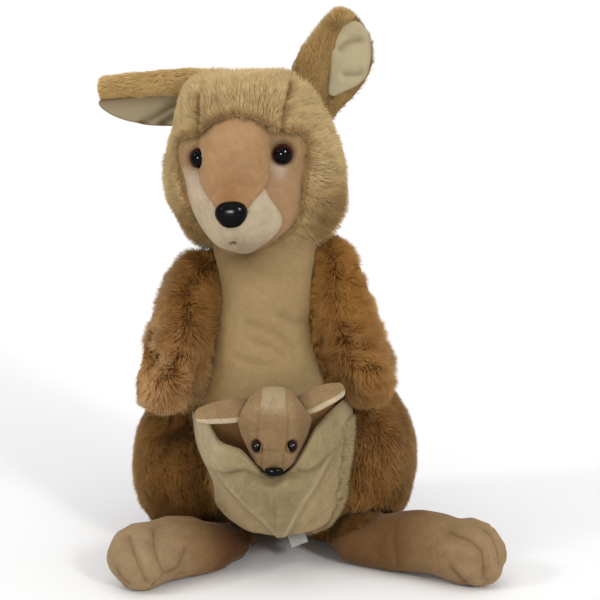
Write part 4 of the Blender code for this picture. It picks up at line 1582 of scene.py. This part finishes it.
@dataclass
class Body:
    """The trunk, thighs, arms and tail, all of one furred skin, and the belly panel.

    Each thigh has the brightness of its fur, the painted sheen that brightens its outer side,
    the painted shade that darkens it towards its foot, and how pale its tips are.
    """

    arms_pile: float = 9.0
    thigh_pile: float = 7.0
    back_pile: float = 8.0
    tail_pile: float = 6.0
    nodes: tuple[str, ...] = ("trunk", "thigh_R", "thigh_L", "arm_R", "arm_L", "belly_panel",
                              "tail")
    arms: tuple[Arm, ...] = (
        Arm("arm_R", ((-39, -14, 184), (-49.5, -25, 167), (-47.5, -35, 144), (-54.5, -44, 122),
                      (-57.5, -50, 106), (-66, -55, 88)), (-0.14, 0.44), 0.2, 0.8),
        Arm("arm_L", ((34, -14, 188), (31, -27, 168), (35, -38, 146), (43, -46, 126),
                      (49, -50, 110), (60, -54, 93)), (0.42, 0.1), 0.6, 0.25))
    fuller: tuple[Bump, ...] = (
        ((41, -6, 187), 13, 6), ((-43, -6, 180), 12, 3))
    thighs: dict[str, tuple[float, ...]] = table({
        "thigh_R": (-0.38, 0.42, 0.16, 0.0), "thigh_L": (-0.06, 0.02, 0.0, 0.2)})
    wrinkles: tuple[FlatLine, ...] = (
        ((-12, 147), (0, 144), (9, 139), (15, 133)), ((-9, 137), (2, 134), (9, 128)),
        ((8, 152), (17, 148), (23, 147)), ((-20, 128), (-10, 125), (0, 124)))
    belly_right: Table = table({
        20: -8, 26: -20, 34: -30, 45: -34, 62: -37, 80: -44, 96: -46, 112: -40, 132: -34,
        155: -31, 175: -33, 192: -34})
    belly_left: Table = table({
        20: 26, 26: 36, 34: 43, 45: 46, 62: 49, 80: 50, 96: 48, 112: 38, 132: 27, 155: 25,
        175: 29, 192: 30})

    def build(self) -> None:
        """Build and dress the body."""
        skin = Skin("body_skin", self.nodes, 2.0, swell=0.7, relax=8).make()
        owner = nearest_node(Bench.places(skin), self.nodes)
        depth = np.choose(owner, [7.0, 7.0, 7.0, 7.0, 7.0, 6.5, 4.5])
        places = TOY.into(Bench.places(skin))
        floor = ease(places[:, 2], 0.5, 9.0)
        rise = filled_out(np.zeros(len(places)), places, self.fuller)
        Bench.push(skin, (rise - 0.6 - (depth - 0.6) * floor) * MM)
        Bench.apply(skin, "SMOOTH", factor=0.5, iterations=5)
        places = TOY.into(Bench.places(skin))
        tunnel = (1 - ease(places[:, 2], 12, 30)) * (1 - ease(np.abs(places[:, 0] - 1), 16, 34))
        places[:, 1] += tunnel * np.maximum(0, 14 - places[:, 1])
        nape = ease(places[:, 2], 165, 196) * ease(places[:, 1], 5, 40)
        places[:, 1] -= 13 * nape
        places[:, 2] = np.maximum(places[:, 2] - 5 * nape, 0.3)
        Bench.move(skin, TOY.out(places))
        dress(skin, UNDER_BROWN, "fur_brown", "trunk", "thigh_R", "thigh_L", "arm_R", "arm_L",
              "tail", fill=0.7)
        ground = Ground(skin)
        names = np.array(self.nodes)[owner]
        x, y, z = TOY.into(ground.places).T
        off_floor = (z > 2.0) & ~((z < 25) & (np.abs(x - 1) < 22) & (y < 20))
        blocks = tuple(Nearby(node) for node in ("foot_R", "foot_L", "joey_head", "face"))
        for seed, arm in enumerate(self.arms):
            arm.grow(ground, names == arm.name, self.arms_pile, 31 + seed, blocks)
        for seed, (name, (base, edge, low, pale)) in enumerate(self.thighs.items()):
            Coat(name + "_fur", BODY_FUR, 16000, self.thigh_pile, 0.55, lean=0.52,
                 tousle=0.35, clump=0.14, clump_size=2.4, seed=41 + seed).grow(
                ground, (names == name) & off_floor, lying((0, -0.15, -1)),
                # Painted sheen brightens and pales the outer side; painted shade darkens the fur
                # towards the foot.
                shade=lambda spots: base + edge * ease(self.aside(spots), 62, 82)
                - low * ease(-TOY.into(spots)[:, 2], -50, -25),
                bloom=lambda spots: pale + 0.4 * ease(self.aside(spots), 62, 80),
                clear_of=blocks)
        beside = (x < smooth_curve(self.belly_right, z) + 4) \
            | (x > smooth_curve(self.belly_left, z) - 5)
        trunk = ((names == "trunk") | ((names == "belly_panel") & beside)) & off_floor
        for seed, (name, part) in enumerate((("back_fur_low", z < 85),
                                             ("back_fur_high", z >= 85))):
            Coat(name, BODY_FUR, 14000, self.back_pile, 0.6, lean=0.5, tousle=0.35, clump=0.25,
                 clump_size=2.8, seed=51 + seed).grow(
                # flank_shade adds painted light towards the sides, and the pale tips there are
                # painted sheen.
                ground, trunk & part, lying((0, 0, -1)), clear_of=blocks, shade=self.flank_shade,
                bloom=lambda spots: 0.6 * ease(self.aside(spots), 48, 60))
        Coat("tail_fur", BODY_FUR, 9000, self.tail_pile, 0.6, lean=0.55, tousle=0.3, clump=0.25,
             clump_size=2.6, seed=61).grow(ground, (names == "tail") & off_floor,
                                           lying((0, 1, -0.1)), clear_of=blocks[:2])
        self.make_belly()

    @staticmethod
    def aside(spots: Array) -> Array:
        """Return how far places lie to either side of the toy's middle."""
        return np.abs(TOY.into(spots)[:, 0] - 3)

    @staticmethod
    def flank_shade(spots: Array) -> Array:
        """Return the painted light that brightens the back's fur towards the toy's sides."""
        x, y, _ = TOY.into(spots).T
        return 0.24 * ease(-x, 44, 58) + 0.26 * ease(x, 20, 40) * ease(-y, 5, 30)

    def make_belly(self) -> None:
        """Make the pale belly panel, a little fuller than the fur around it."""
        panel = Skin("belly", ("belly_panel",), 1.2, swell=0.4, relax=25).make()
        flat = TOY.into(Bench.places(panel))[:, [0, 2]]
        wrinkle = np.min([distance_to_line(flat, rounded(line)) for line in self.wrinkles], axis=0)
        edge = np.minimum(flat[:, 0] - smooth_curve(self.belly_right, flat[:, 1]),
                          smooth_curve(self.belly_left, flat[:, 1]) - flat[:, 0])
        # Painted shade in the wrinkles, along the edges beside the fur and under the chin; the
        # lower middle is made lighter. The inner and side panels are painted shade inside the pouch
        # and beside the right arm.
        Bench.paint(panel, "seam", 0.2 * fall(wrinkle, 1.6)
                    + 0.3 * fall(np.maximum(edge, 0), 5)
                    + 0.55 * np.exp(-((flat[:, 0] + 16) / 14) ** 2 - ((flat[:, 1] - 184) / 9) ** 2)
                    - 0.1 * ease(edge, 10, 25) * ease(-flat[:, 1], -150, -115))
        Bench.paint(panel, "inner", 101 - flat[:, 1])
        Bench.paint(panel, "side", np.minimum(-27 - flat[:, 0], 170 - flat[:, 1]))
        rise = Ripple(0.03, 71, 1).at(Bench.places(panel))[:, 0] * 0.8 - 1.5 \
            + groove(wrinkle, 2.8, 1.4)
        Bench.push(panel, rise * MM)
        places = Bench.places(panel)
        level = TOY.into(places)[:, 2]
        places[:, 1] += 4 * MM * ease(level, 180, 192)
        places[:, 2] += 9 * MM * ease(level, 176, 192)
        Bench.move(panel, places)
        dress(panel, CREAM_VELOUR, "velour_cream", "belly_panel")


def facing_plane(points: Array) -> Array:
    """Return toy points as places across and up on a plane that leans back a little."""
    lean = math.radians(12)
    return np.stack([points[:, 0], points[:, 2] * math.cos(lean) + points[:, 1] * math.sin(lean)],
                    axis=1)


@dataclass
class Foot:
    """A stuffed foot with toes marked by stitches.

    Args:
        name: the solid's name.
        heel: the heel's place on the floor.
        toe: the toes' place on the floor.
        stitches: lines sewn between the toes.
        creases: folds in the cloth.
        cuffs: lines from which the leg's fur covers the foot, across and up.
        hump: place and height of the instep.
        tuck: how far the heel is drawn in.
        arch: how high the sole is drawn up behind the toes.
        drop: how far the ankle is pressed down.
        shift: how far its toes lie to the toy's left of the solid.
        deep: how dark its stitches are.
        heel_shade: how much painted shade darkens its heel.
        ankle_to: how far along it the ankle's darker colour reaches, partly painted shade.
        heel_to: how far along it the heel's painted shade reaches.
        toe_from: how far along it the toes' colour starts.
        threads: whether pale threads show beside the stitches.
        fuller: places where it is stuffed more.
    """

    name: str
    heel: tuple[float, float]
    toe: tuple[float, float]
    stitches: tuple[Line, ...]
    creases: tuple[Line, ...] = ()
    cuffs: tuple[tuple[tuple[float, float], tuple[float, float]], ...] = ()
    hump: float = 0.0
    tuck: float = 0.0
    arch: float = 2.0
    drop: float = 0.0
    shift: float = 0.0
    deep: float = 0.42
    heel_shade: float = 0.15
    ankle_to: float = 0.78
    heel_to: float = -1.0
    toe_from: float = 3.0
    threads: bool = False
    fuller: tuple[Bump, ...] = ()

    def build(self) -> None:
        """Build and dress the foot, and grow the leg's fur over its heel."""
        piece = Skin(self.name + "_cloth", (self.name,), 0.9, swell=0.2, relax=10).make()
        local = TOY.into(Bench.places(piece))
        run = unit(np.subtract(self.toe, self.heel).astype(float))
        length = np.linalg.norm(np.subtract(self.toe, self.heel))
        along = (local[:, :2] - np.array(self.heel)) @ run / length
        back = 1 - ease(along, -0.3, 0.35)
        local[:, :2] += (back * self.tuck)[:, None] * run
        local[:, 2] += back * self.tuck * 0.8 * (1 - local[:, 2] / 32)
        local[:, 2] -= self.drop * (1 - ease(along, 0.0, 0.55)) * ease(local[:, 2], 6, 32)
        local[:, 2] += self.hump * fall(along - 0.55, 0.25) * ease(local[:, 2], 8, 32)
        local[:, 2] -= 0.7 * fall(along - 0.86, 0.09) * ease(local[:, 2], 18, 34)
        local[:, 2] += self.arch * fall(along - 0.7, 0.22) * (1 - ease(local[:, 2], 0, 16))
        local[:, 0] += self.shift * ease(along, 0.85, 1.15)
        Bench.move(piece, TOY.out(local))
        flat = facing_plane(local)
        ahead = ease(-Bench.normals(piece)[:, 1], -0.15, 0.15)
        stitch = np.min([distance_to_line(flat, rounded(facing_plane(np.array(line))))
                         for line in self.stitches], axis=0)
        stitch = np.where(ahead > 0.01, stitch, 20)
        drawn = (groove(stitch, 3.6, 2.0) + groove(stitch, 0.9, 0.6)) * ahead
        dark = (self.deep * fall(stitch, 0.6) + 0.12 * fall(stitch, 2.6)) * ahead
        # Creases are drawn in and darkened with painted shade.
        for line in self.creases:
            away = distance_to_line(flat, rounded(facing_plane(np.array(line))))
            drawn += groove(away, 2.2, 1.1) * ahead
            dark += 0.25 * fall(away, 1.2) * ahead
        # Painted shade at the heel and near the floor.
        dark += self.heel_shade * (1 - ease(along, -0.1, 0.36)) \
            + 0.12 * (1 - ease(local[:, 2], 2, 14))
        Bench.paint(piece, "ankle", self.ankle_to - along)
        Bench.paint(piece, "heel", self.heel_to - along)
        Bench.paint(piece, "toe", along - self.toe_from)
        dark += 0.05 * Ripple(0.02, 83, 1).at(Bench.places(piece))[:, 0]
        rise = Ripple(0.016, 81, 1).at(Bench.places(piece))[:, 0] * 0.4
        off_floor = ease(local[:, 2], 0.5, 5)
        rise = filled_out(rise, local, self.fuller)
        Bench.push(piece, (drawn + rise) * off_floor * MM)
        Bench.paint(piece, "seam", np.clip(dark, 0, 1))
        Bench.paint(piece, "thread", -0.2 - np.abs(stitch - 1.1) - 5 * (not self.threads))
        dress(piece, FOOT_VELOUR, "velour_tan", self.name, fill=0.75)
        behind = np.full(len(flat), -1.0)
        for start, end in self.cuffs:
            side = unit(np.subtract(end, start).astype(float))
            behind = np.maximum(behind, (flat - start) @ np.array([-side[1], side[0]]))
        # The leg's fur over the heel is darkened with painted shade.
        Coat(self.name + "_cuff_fur", BODY_FUR, 3000, 4.5, 0.5, lean=0.6, tousle=0.35, clump=0.25,
             clump_size=2.2, seed=91).grow(Ground(piece), behind > 0, lying((*run, -0.2)),
                                           shade=lambda spots: np.full(len(spots), -0.3))


FEET = (
    Foot("foot_R", (-22, -46), (-73, -87),
         (((-79.9, -96.2, 35), (-76.6, -104.5, 28.3), (-72.5, -108.1, 17.7), (-68.5, -103.6, 8.4)),
          ((-64.4, -90.7, 35.5), (-62.6, -102.9, 26), (-60.4, -103.7, 19.1),
           (-58.5, -100.2, 11.9), (-66, -105, 5)),
          ((-46.5, -88.5, 23.4), (-48.6, -92.2, 18.1), (-50.4, -92.8, 13.5),
           (-58.5, -100.2, 11.9)),
          ((-87.6, -103.4, 16.6), (-83.8, -102.6, 9.8), (-79.4, -101.7, 5.9))),
         cuffs=(((-42, 20.6), (-15, 11.5)), ((-21, 14), (-11.5, 3))), hump=2.6, tuck=6.5,
         drop=4.5, shift=1.8, deep=0.32, heel_shade=0.45, ankle_to=0.63, heel_to=0.33,
         toe_from=0.7, threads=True),
    Foot("foot_L", (52, -42), (115, -79),
         (((102.7, -85.1, 33.6), (113.5, -93.3, 31.6), (121.2, -97.1, 25.8), (122.4, -98.4, 17.3),
           (122.3, -95.1, 8.3)),
          ((123.7, -85.5, 35.6), (128.8, -87.4, 30.8), (130.8, -90.8, 26.6), (132.0, -92.9, 15.3)),
          ((102.2, -95.2, 14.4), (108.0, -94.9, 8.3), (112.3, -92.0, 4.2))),
         (((73.3, -65.2, 30.1), (72.4, -73.8, 20.8), (74.8, -73.9, 8.7)),),
         cuffs=(((42, 6.8), (78.5, 29.1)),), hump=4.0, arch=3.0,
         fuller=(((127, -90, 8), 10, 3.0), ((112, -80, 40), 8, -2.0))))


# ------------------------------------------------------------------ pouch
@dataclass
class Pouch:
    """The pouch: a flap of pale velour with a puffed hem, folded where it is sewn down.

    Lines are places across and up, on the toy's grid.
    """

    trunk: dict[float, tuple[float, float]] = table({
        3: (58, 10), 10: (66, 31), 24: (72, 52), 45: (74, 59), 70: (72, 60), 95: (66, 57),
        120: (58, 53)})
    right_edge: Table = table({
        22: -6, 28: -18, 38: -29, 55: -33, 75: -42, 92: -45})
    left_edge: Table = table({
        22: 23, 28: 34, 38: 42, 55: 45, 75: 48, 92: 49})
    rim: Table = table({
        -45: 93, -37: 93, -33: 92, -31: 89.5, -28.5: 86.4, -25: 85.2, -20: 85, -14.5: 84,
        -9: 79.2, -3.5: 73.6, 3: 70.6, 10: 72.5, 14: 76, 20: 84.5, 26: 94, 31: 98, 37: 101,
        49: 103})
    under_hem: Table = table({
        -45: 62, -31: 65, -24: 68, -13.5: 73, -8: 71.5, 3: 69.5, 9.7: 72, 16: 73, 25: 72.5,
        32: 75.5, 41: 80, 49: 84})
    bulge: Table = table({0: 5, 0.2: 20, 0.5: 33, 0.8: 39,
                                                               1: 39})
    bottom: float = 22
    wall: float = 2.4
    right_fold: FlatLine = ((-33, 66), (-31.3, 64.8), (-18.3, 54.4),
                                                   (-3.7, 42.1), (1.8, 33.7), (4, 26))
    left_fold: FlatLine = ((44, 83), (41.3, 81), (34.3, 73.3), (27.5, 62),
                                                  (20.8, 53), (15.2, 42.1), (11.9, 33.7),
                                                  (10, 26))
    creases: tuple[FlatLine, ...] = (
        ((37.5, 71), (36.5, 56), (31, 42)), ((19, 84), (26, 80), (33, 79.5)),
        ((13, 75), (19, 79), (26, 80)), ((-16, 79), (-10, 75), (-3, 73)),
        ((-31, 56), (-26, 44), (-15, 35)), ((30, 50), (24, 38), (20, 30)))

    def front(self, x: Array, z: Array) -> Array:
        """Return how far forward the trunk reaches behind the pouch."""
        half = smooth_curve({k: v[0] for k, v in self.trunk.items()}, z)
        reach = smooth_curve({k: v[1] for k, v in self.trunk.items()}, z)
        return -reach * np.sqrt(np.maximum(0.02, 1 - (x / half) ** 2))

    def relief(self, flat: Array) -> tuple[Array, ...]:
        """Return how far the cloth stands out, its painted shade, its flat flanks and where its
        fold ridges get a painted highlight.

        Args:
            flat: places across and up.

        Returns:
            One array for each of the four.
        """
        x, z = flat.T
        rim, under = smooth_curve(self.rim, x), smooth_curve(self.under_hem, x)
        height = np.maximum(rim - under, 1.0)
        up = np.clip((z - under) / height, 0, 1)
        puff = np.minimum(height * 0.30, 4.5) * np.sqrt(np.maximum(0, 1 - (2 * up - 1) ** 2))
        puff = puff + 1.5 * ease(1 - np.abs(x - 3) / 24, 0, 1) * ease(z, 55, 72)
        hem = np.abs(z - under) / np.sqrt(1.3)
        below = ease(under - z, -1.0, 3.0)
        right = distance_to_line(flat, self.right_fold)
        left = distance_to_line(flat, self.left_fold)
        fold_x = [np.interp(z, [p[1] for p in line[::-1]], [p[0] for p in line[::-1]])
                  for line in (self.right_fold, self.left_fold)]
        outside = np.maximum(np.where(x < fold_x[0], right, -right),
                             np.where(x > fold_x[1], left, -left))
        flap = 4.5 * (1 - ease(outside, -1.0, 2.0)) + 2.5 * ease(outside, 3.0, 14.0)
        flap = flap + 0.3 * fall(outside + 3.0, 2.5)
        stand = puff + flap * below + groove(hem, 1.6, 1.6)
        fold = np.minimum(right, left)
        # Painted shade beside the folds, along the hem, in the creases and down the middle fold.
        dark = below * 0.3 * fall(np.maximum(outside - 0.6, 0), 3.4) \
            * ease(outside, -1.2, 0.4) + 0.14 * fall(hem, 1.6)
        for line in self.creases:
            away = distance_to_line(flat, line)
            stand += groove(away, 3.6, 1.9)
            dark += 0.05 * fall(away, 2.0)
        middle = below * ease(-outside, 0, 6)
        dark += 0.22 * middle * fall(x - 3.5 - 0.03 * (60 - z), 0.9)
        stand = stand + (0.5 * (fold > 3) * below + 0.7 * middle) * np.cos((x - 4) * 0.4)
        dark = dark + 0.12 * middle * ease(x, 3, 9) * ease(65 - z, 0, 12)
        ridge = np.minimum(1 - 3 * np.abs(outside + 1.4), (below - 0.5) * 20)
        return stand, np.clip(dark, 0, 0.8), np.minimum(outside - 2, (below - 0.5) * 10), ridge

    def build(self, columns: int = 172, rows: int = 136) -> None:
        """Build and dress the pouch.

        Args:
            columns: faces across.
            rows: faces up.
        """
        Bench.only(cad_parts["pouch"])
        bpy.ops.mesh.primitive_grid_add(x_subdivisions=columns, y_subdivisions=rows, size=2)
        piece = Bench.made("pouch_cloth")
        u, v, _ = Bench.places(piece).T
        across, share = (u + 1) / 2, (v + 1) / 2
        x = np.zeros_like(u)
        for _ in range(6):
            z = self.bottom + (smooth_curve(self.rim, x) - self.bottom) * share
            right, left = smooth_curve(self.right_edge, z), smooth_curve(self.left_edge, z)
            x = right + (left - right) * across
        z = self.bottom + (smooth_curve(self.rim, x) - self.bottom) * share
        round_out = np.maximum(0, 1 - np.abs(2 * across - 1) ** 2.4)
        y = self.front(x, z) - 5.5 - smooth_curve(self.bulge, share) * round_out
        stand, dark, flank, ridge = self.relief(np.stack([x, z], axis=1))
        held = ease(across, 0, 0.06) * ease(1 - across, 0, 0.06) * ease(share, 0, 0.06)
        curl = ease(share, 0.975, 1.0)
        y = y - stand * held + curl * 3.0
        Bench.move(piece, TOY.out(np.stack([x, y, z], axis=1)))
        if Bench.normals(piece)[:, 1].mean() > 0:
            Bench.edit(piece, bpy.ops.mesh.flip_normals)
        piece.data.shade_smooth()
        Bench.paint(piece, "seam", dark)
        Bench.paint(piece, "margin", (1 - across) * 100)
        # The pale panel is a painted highlight along the fold ridges, and pales the upper sides.
        Bench.paint(piece, "pale", np.maximum(
            ridge, np.minimum(np.where(x > 3, x - 46, -27 - x), z - 52)))
        Bench.paint(piece, "flank", flank)
        Bench.apply(piece, "SOLIDIFY", thickness=self.wall * MM, offset=-1)
        margin = np.empty(len(piece.data.vertices))
        piece.data.attributes["margin"].data.foreach_get("value", margin)
        places = Bench.places(piece)
        fringed = (margin < 7 + 2.5 * Ripple(0.004, 97, 1).at(places)[:, 0]) \
            & (TOY.into(places)[:, 2] < 92)
        Coat("pouch_fringe", CREAM_PILE, 4500, 4.2, 0.4, lean=0.62, tousle=0.35, clump=0.3,
             clump_size=2.0, seed=95).grow(Ground(piece), fringed, lying((1, 0, -0.2)),
                                           slot="velour_cream")
        dress(piece, POUCH_VELOUR, "velour_cream", "pouch")


# ------------------------------------------------------------------ joey
JOEY_EAR = ({0: -5, 0.3: -7.4, 0.6: -7.2, 0.85: -5.4, 0.95: -4, 1: -2.5},
            {0: 5, 0.3: 7.2, 0.6: 6.6, 0.85: 5.2, 0.95: 4, 1: 2.5})


@dataclass
class Joey:
    """The small joey sewn into the pouch."""

    ears: tuple[Leaf, ...] = (
        Leaf("joey_ear_R", (-11, 3, 9.5), (-45, 0, 5), (0.1, 0.85, -0.6), -1, JOEY_EAR,
             cup=2, thickness=4, roll=1, grid=JOEY),
        Leaf("joey_ear_L", (11, 3, 9), (39.5, 0, 21.5), (0.3, 0.85, -0.6), 1, JOEY_EAR,
             cup=2, thickness=4, roll=1, grid=JOEY))

    def build(self) -> None:
        """Build and dress the joey."""
        head = Skin("joey_head_cloth", ("joey_head",), 0.7, swell=0.3, relax=14).make()
        x, y, z = JOEY.into(Bench.places(head)).T
        side = x - 0.055 * (z + 19.6)
        front = y < 4
        top = np.minimum(side + 11, 6.5 - side)
        brow = np.where((side > -10) & (side < 6.6), np.abs(z + 9), 9.0)
        muzzle = np.minimum(np.abs(side + 7.5), np.abs(side - 5))
        seams = np.where(z > -9, np.abs(top), 9.0)
        seams = np.minimum(seams, brow)
        seams = np.minimum(seams, np.where((z < -9) & (z > -22), muzzle, 9.0))
        seams = np.where(front, seams, 9.0)
        drawn = groove(seams, 1.1, 0.6)
        # Painted shade darkens the lower face, the head below its top and its left cheek, besides
        # the dark seams and eye rings.
        dark = 0.2 * fall(seams, 0.6) + 0.25 * (1 - ease(z, -24, -8)) * 0.5
        dark += 0.34 * (1 - ease(z, 2, 15)) + 0.25 * ease(x, 9, 17)
        for sign in (-1, 1):
            away = np.hypot(x - sign * 10, z + 8)
            drawn += np.where(front, groove(away - 3.0, 0.9, 0.9), 0)
            dark += np.where(front, 0.5 * fall(away - 3.0, 0.7), 0)
        Bench.push(head, drawn * MM)
        local = JOEY.into(Bench.places(head))
        local[:, 0] = (local[:, 0] + 2) * (1 - 0.2 * ease(local[:, 2], 4, 20)) - 2
        Bench.move(head, JOEY.out(local))
        # Partly the cream top panel and partly painted light: it pales towards the top, at most
        # about half way to cream.
        Bench.paint(head, "cream", np.minimum(np.where(front, np.minimum(top * 2, (z - 16) * 0.06),
                                                       -5.0), -0.05))
        Bench.paint(head, "seam", np.clip(dark, 0, 1))
        dress(head, JOEY_VELOUR, "velour_tan", "joey_head", fill=0.7)
        body = Skin("joey_body_cloth", ("joey_body",), 1.0, swell=0.2, relax=10).make()
        dress(body, TAN_VELOUR, "velour_tan", "joey_body", fill=0.6)
        for ear in self.ears:
            piece, along, c, s = ear.make(ear.name + "_cloth", 48, 48)
            Bench.paint(piece, "cream", (c - 0.74 + 0.12 * along + 0.6 * ease(s, 0.1, 0.4)) * 6)
            # Painted shade darkens the ear towards its base.
            Bench.paint(piece, "seam", 0.12 + 0.5 * (1 - ease(along, 0.05, 0.5)))
            dress(piece, JOEY_VELOUR, "velour_tan", ear.name)
        for side_name in Side:
            name = "joey_eye_" + side_name.letter
            dress(round_ball(name + "_bead", name, 40, 20), JOEY_PLASTIC, "plastic_black", name)
        self.make_nose()

    def make_nose(self) -> None:
        """Make the joey's stitched nose, flat above and round below."""
        low, high = (np.array(corner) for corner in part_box("joey_nose"))
        piece, directions = Bench.ball("joey_nose_bead", 48, 30)
        x, y, z = directions.T
        shape = np.stack([x, y, np.minimum(z, 0.45)], axis=1)
        Bench.move(piece, (low + high) / 2 + shape * (high - low) / 2)
        Bench.paint(piece, "rim", np.zeros(len(directions)))
        outward(piece)
        dress(piece, NOSE_PLASTIC, "plastic_black", "joey_nose")


# ------------------------------------------------------------------ tag and studio
@dataclass
class CareTag:
    """The blank ribbon tag sewn in under the pouch."""

    size: Point = (10.5, 0.8, 10)
    place: Point = (16.3, -44, 15.8)
    tilt: Point = (-12, -18, 10)

    def build(self) -> None:
        """Build and dress the tag."""
        Bench.only(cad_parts["tag"])
        bpy.ops.mesh.primitive_grid_add(x_subdivisions=24, y_subdivisions=22, size=2)
        piece = Bench.made("care_tag")
        u, v, _ = Bench.places(piece).T
        width, _, height = self.size
        local = np.stack([u * width / 2, 0.7 * (v + 1) ** 2 * np.cos(u), v * height / 2], axis=1)
        grid = TOY.turned(self.place, Euler([math.radians(a) for a in self.tilt]))
        Bench.move(piece, grid.out(local))
        Bench.apply(piece, "SOLIDIFY", thickness=0.5 * MM, offset=0)
        outward(piece)
        piece.data.shade_smooth()
        dress(piece, WHITE_RIBBON, "ribbon_white", "tag")


@dataclass
class Studio:
    """A pale floor, soft light and the camera."""

    target: Point = (18, 0, 150)
    elevation: float = 12.0
    distance: float = 1.25
    lens: float = 125.0
    fill: float = 0.7
    suns: tuple[Bump, ...] = (
        ((0.8, 0.4, -0.6), 0.5, 9), ((-0.45, 0.8, -0.45), 0.9, 9), ((0.1, 0.25, -1), 0.5, 50))
    catch_lights: tuple[Bump, ...] = (
        ((0.316, 0.927, -0.197), 5.5, 11), ((-0.486, 0.638, -0.595), 7.5, 12))

    def build(self) -> None:
        """Set the floor, the lights and the camera."""
        Bench.only(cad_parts["trunk"])
        bpy.ops.mesh.primitive_plane_add(size=60)
        floor = Bench.made("floor")
        material, _, shader = new_material("floor_white")
        shader.inputs["Base Color"].default_value = (0.95, 0.95, 0.95, 1)
        shader.inputs["Roughness"].default_value = 0.9
        floor.data.materials.append(material)
        world = bpy.data.worlds.new("studio")
        world.use_nodes = True
        world.node_tree.nodes["Background"].inputs["Color"].default_value = (1, 1, 1, 1)
        world.node_tree.nodes["Background"].inputs["Strength"].default_value = self.fill
        bpy.context.scene.world = world
        target = TOY.out(np.array(self.target))
        for rank, (way, strength, angle) in enumerate(self.suns + self.catch_lights):
            sun = bpy.data.lights.new(f"sun_{rank}", "SUN")
            sun.energy, sun.angle = strength, math.radians(angle)
            item = Bench.add(f"sun_{rank}", sun)
            item.rotation_euler = Vector(way).to_track_quat("-Z", "Y").to_euler()
            item.visible_diffuse = rank < len(self.suns)
        tilt = math.radians(self.elevation)
        place = target + self.distance * np.array([0, -math.cos(tilt), math.sin(tilt)])
        camera = Bench.add("camera", bpy.data.cameras.new("camera"))
        camera.location = place
        camera.rotation_euler = Vector(target - place).to_track_quat("-Z", "Y").to_euler()
        camera.data.lens, camera.data.sensor_width = self.lens, 36
        bpy.context.scene.camera = camera
        bpy.context.scene.view_settings.view_transform = "Standard"


def main() -> None:
    """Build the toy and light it."""
    logging.basicConfig(level=logging.INFO, format="%(name)s: %(message)s")
    Head().build()
    Body().build()
    for foot in FEET:
        foot.build()
    Pouch().build()
    Joey().build()
    CareTag().build()
    Studio().build()
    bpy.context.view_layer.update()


if __name__ == "__main__":
    main()
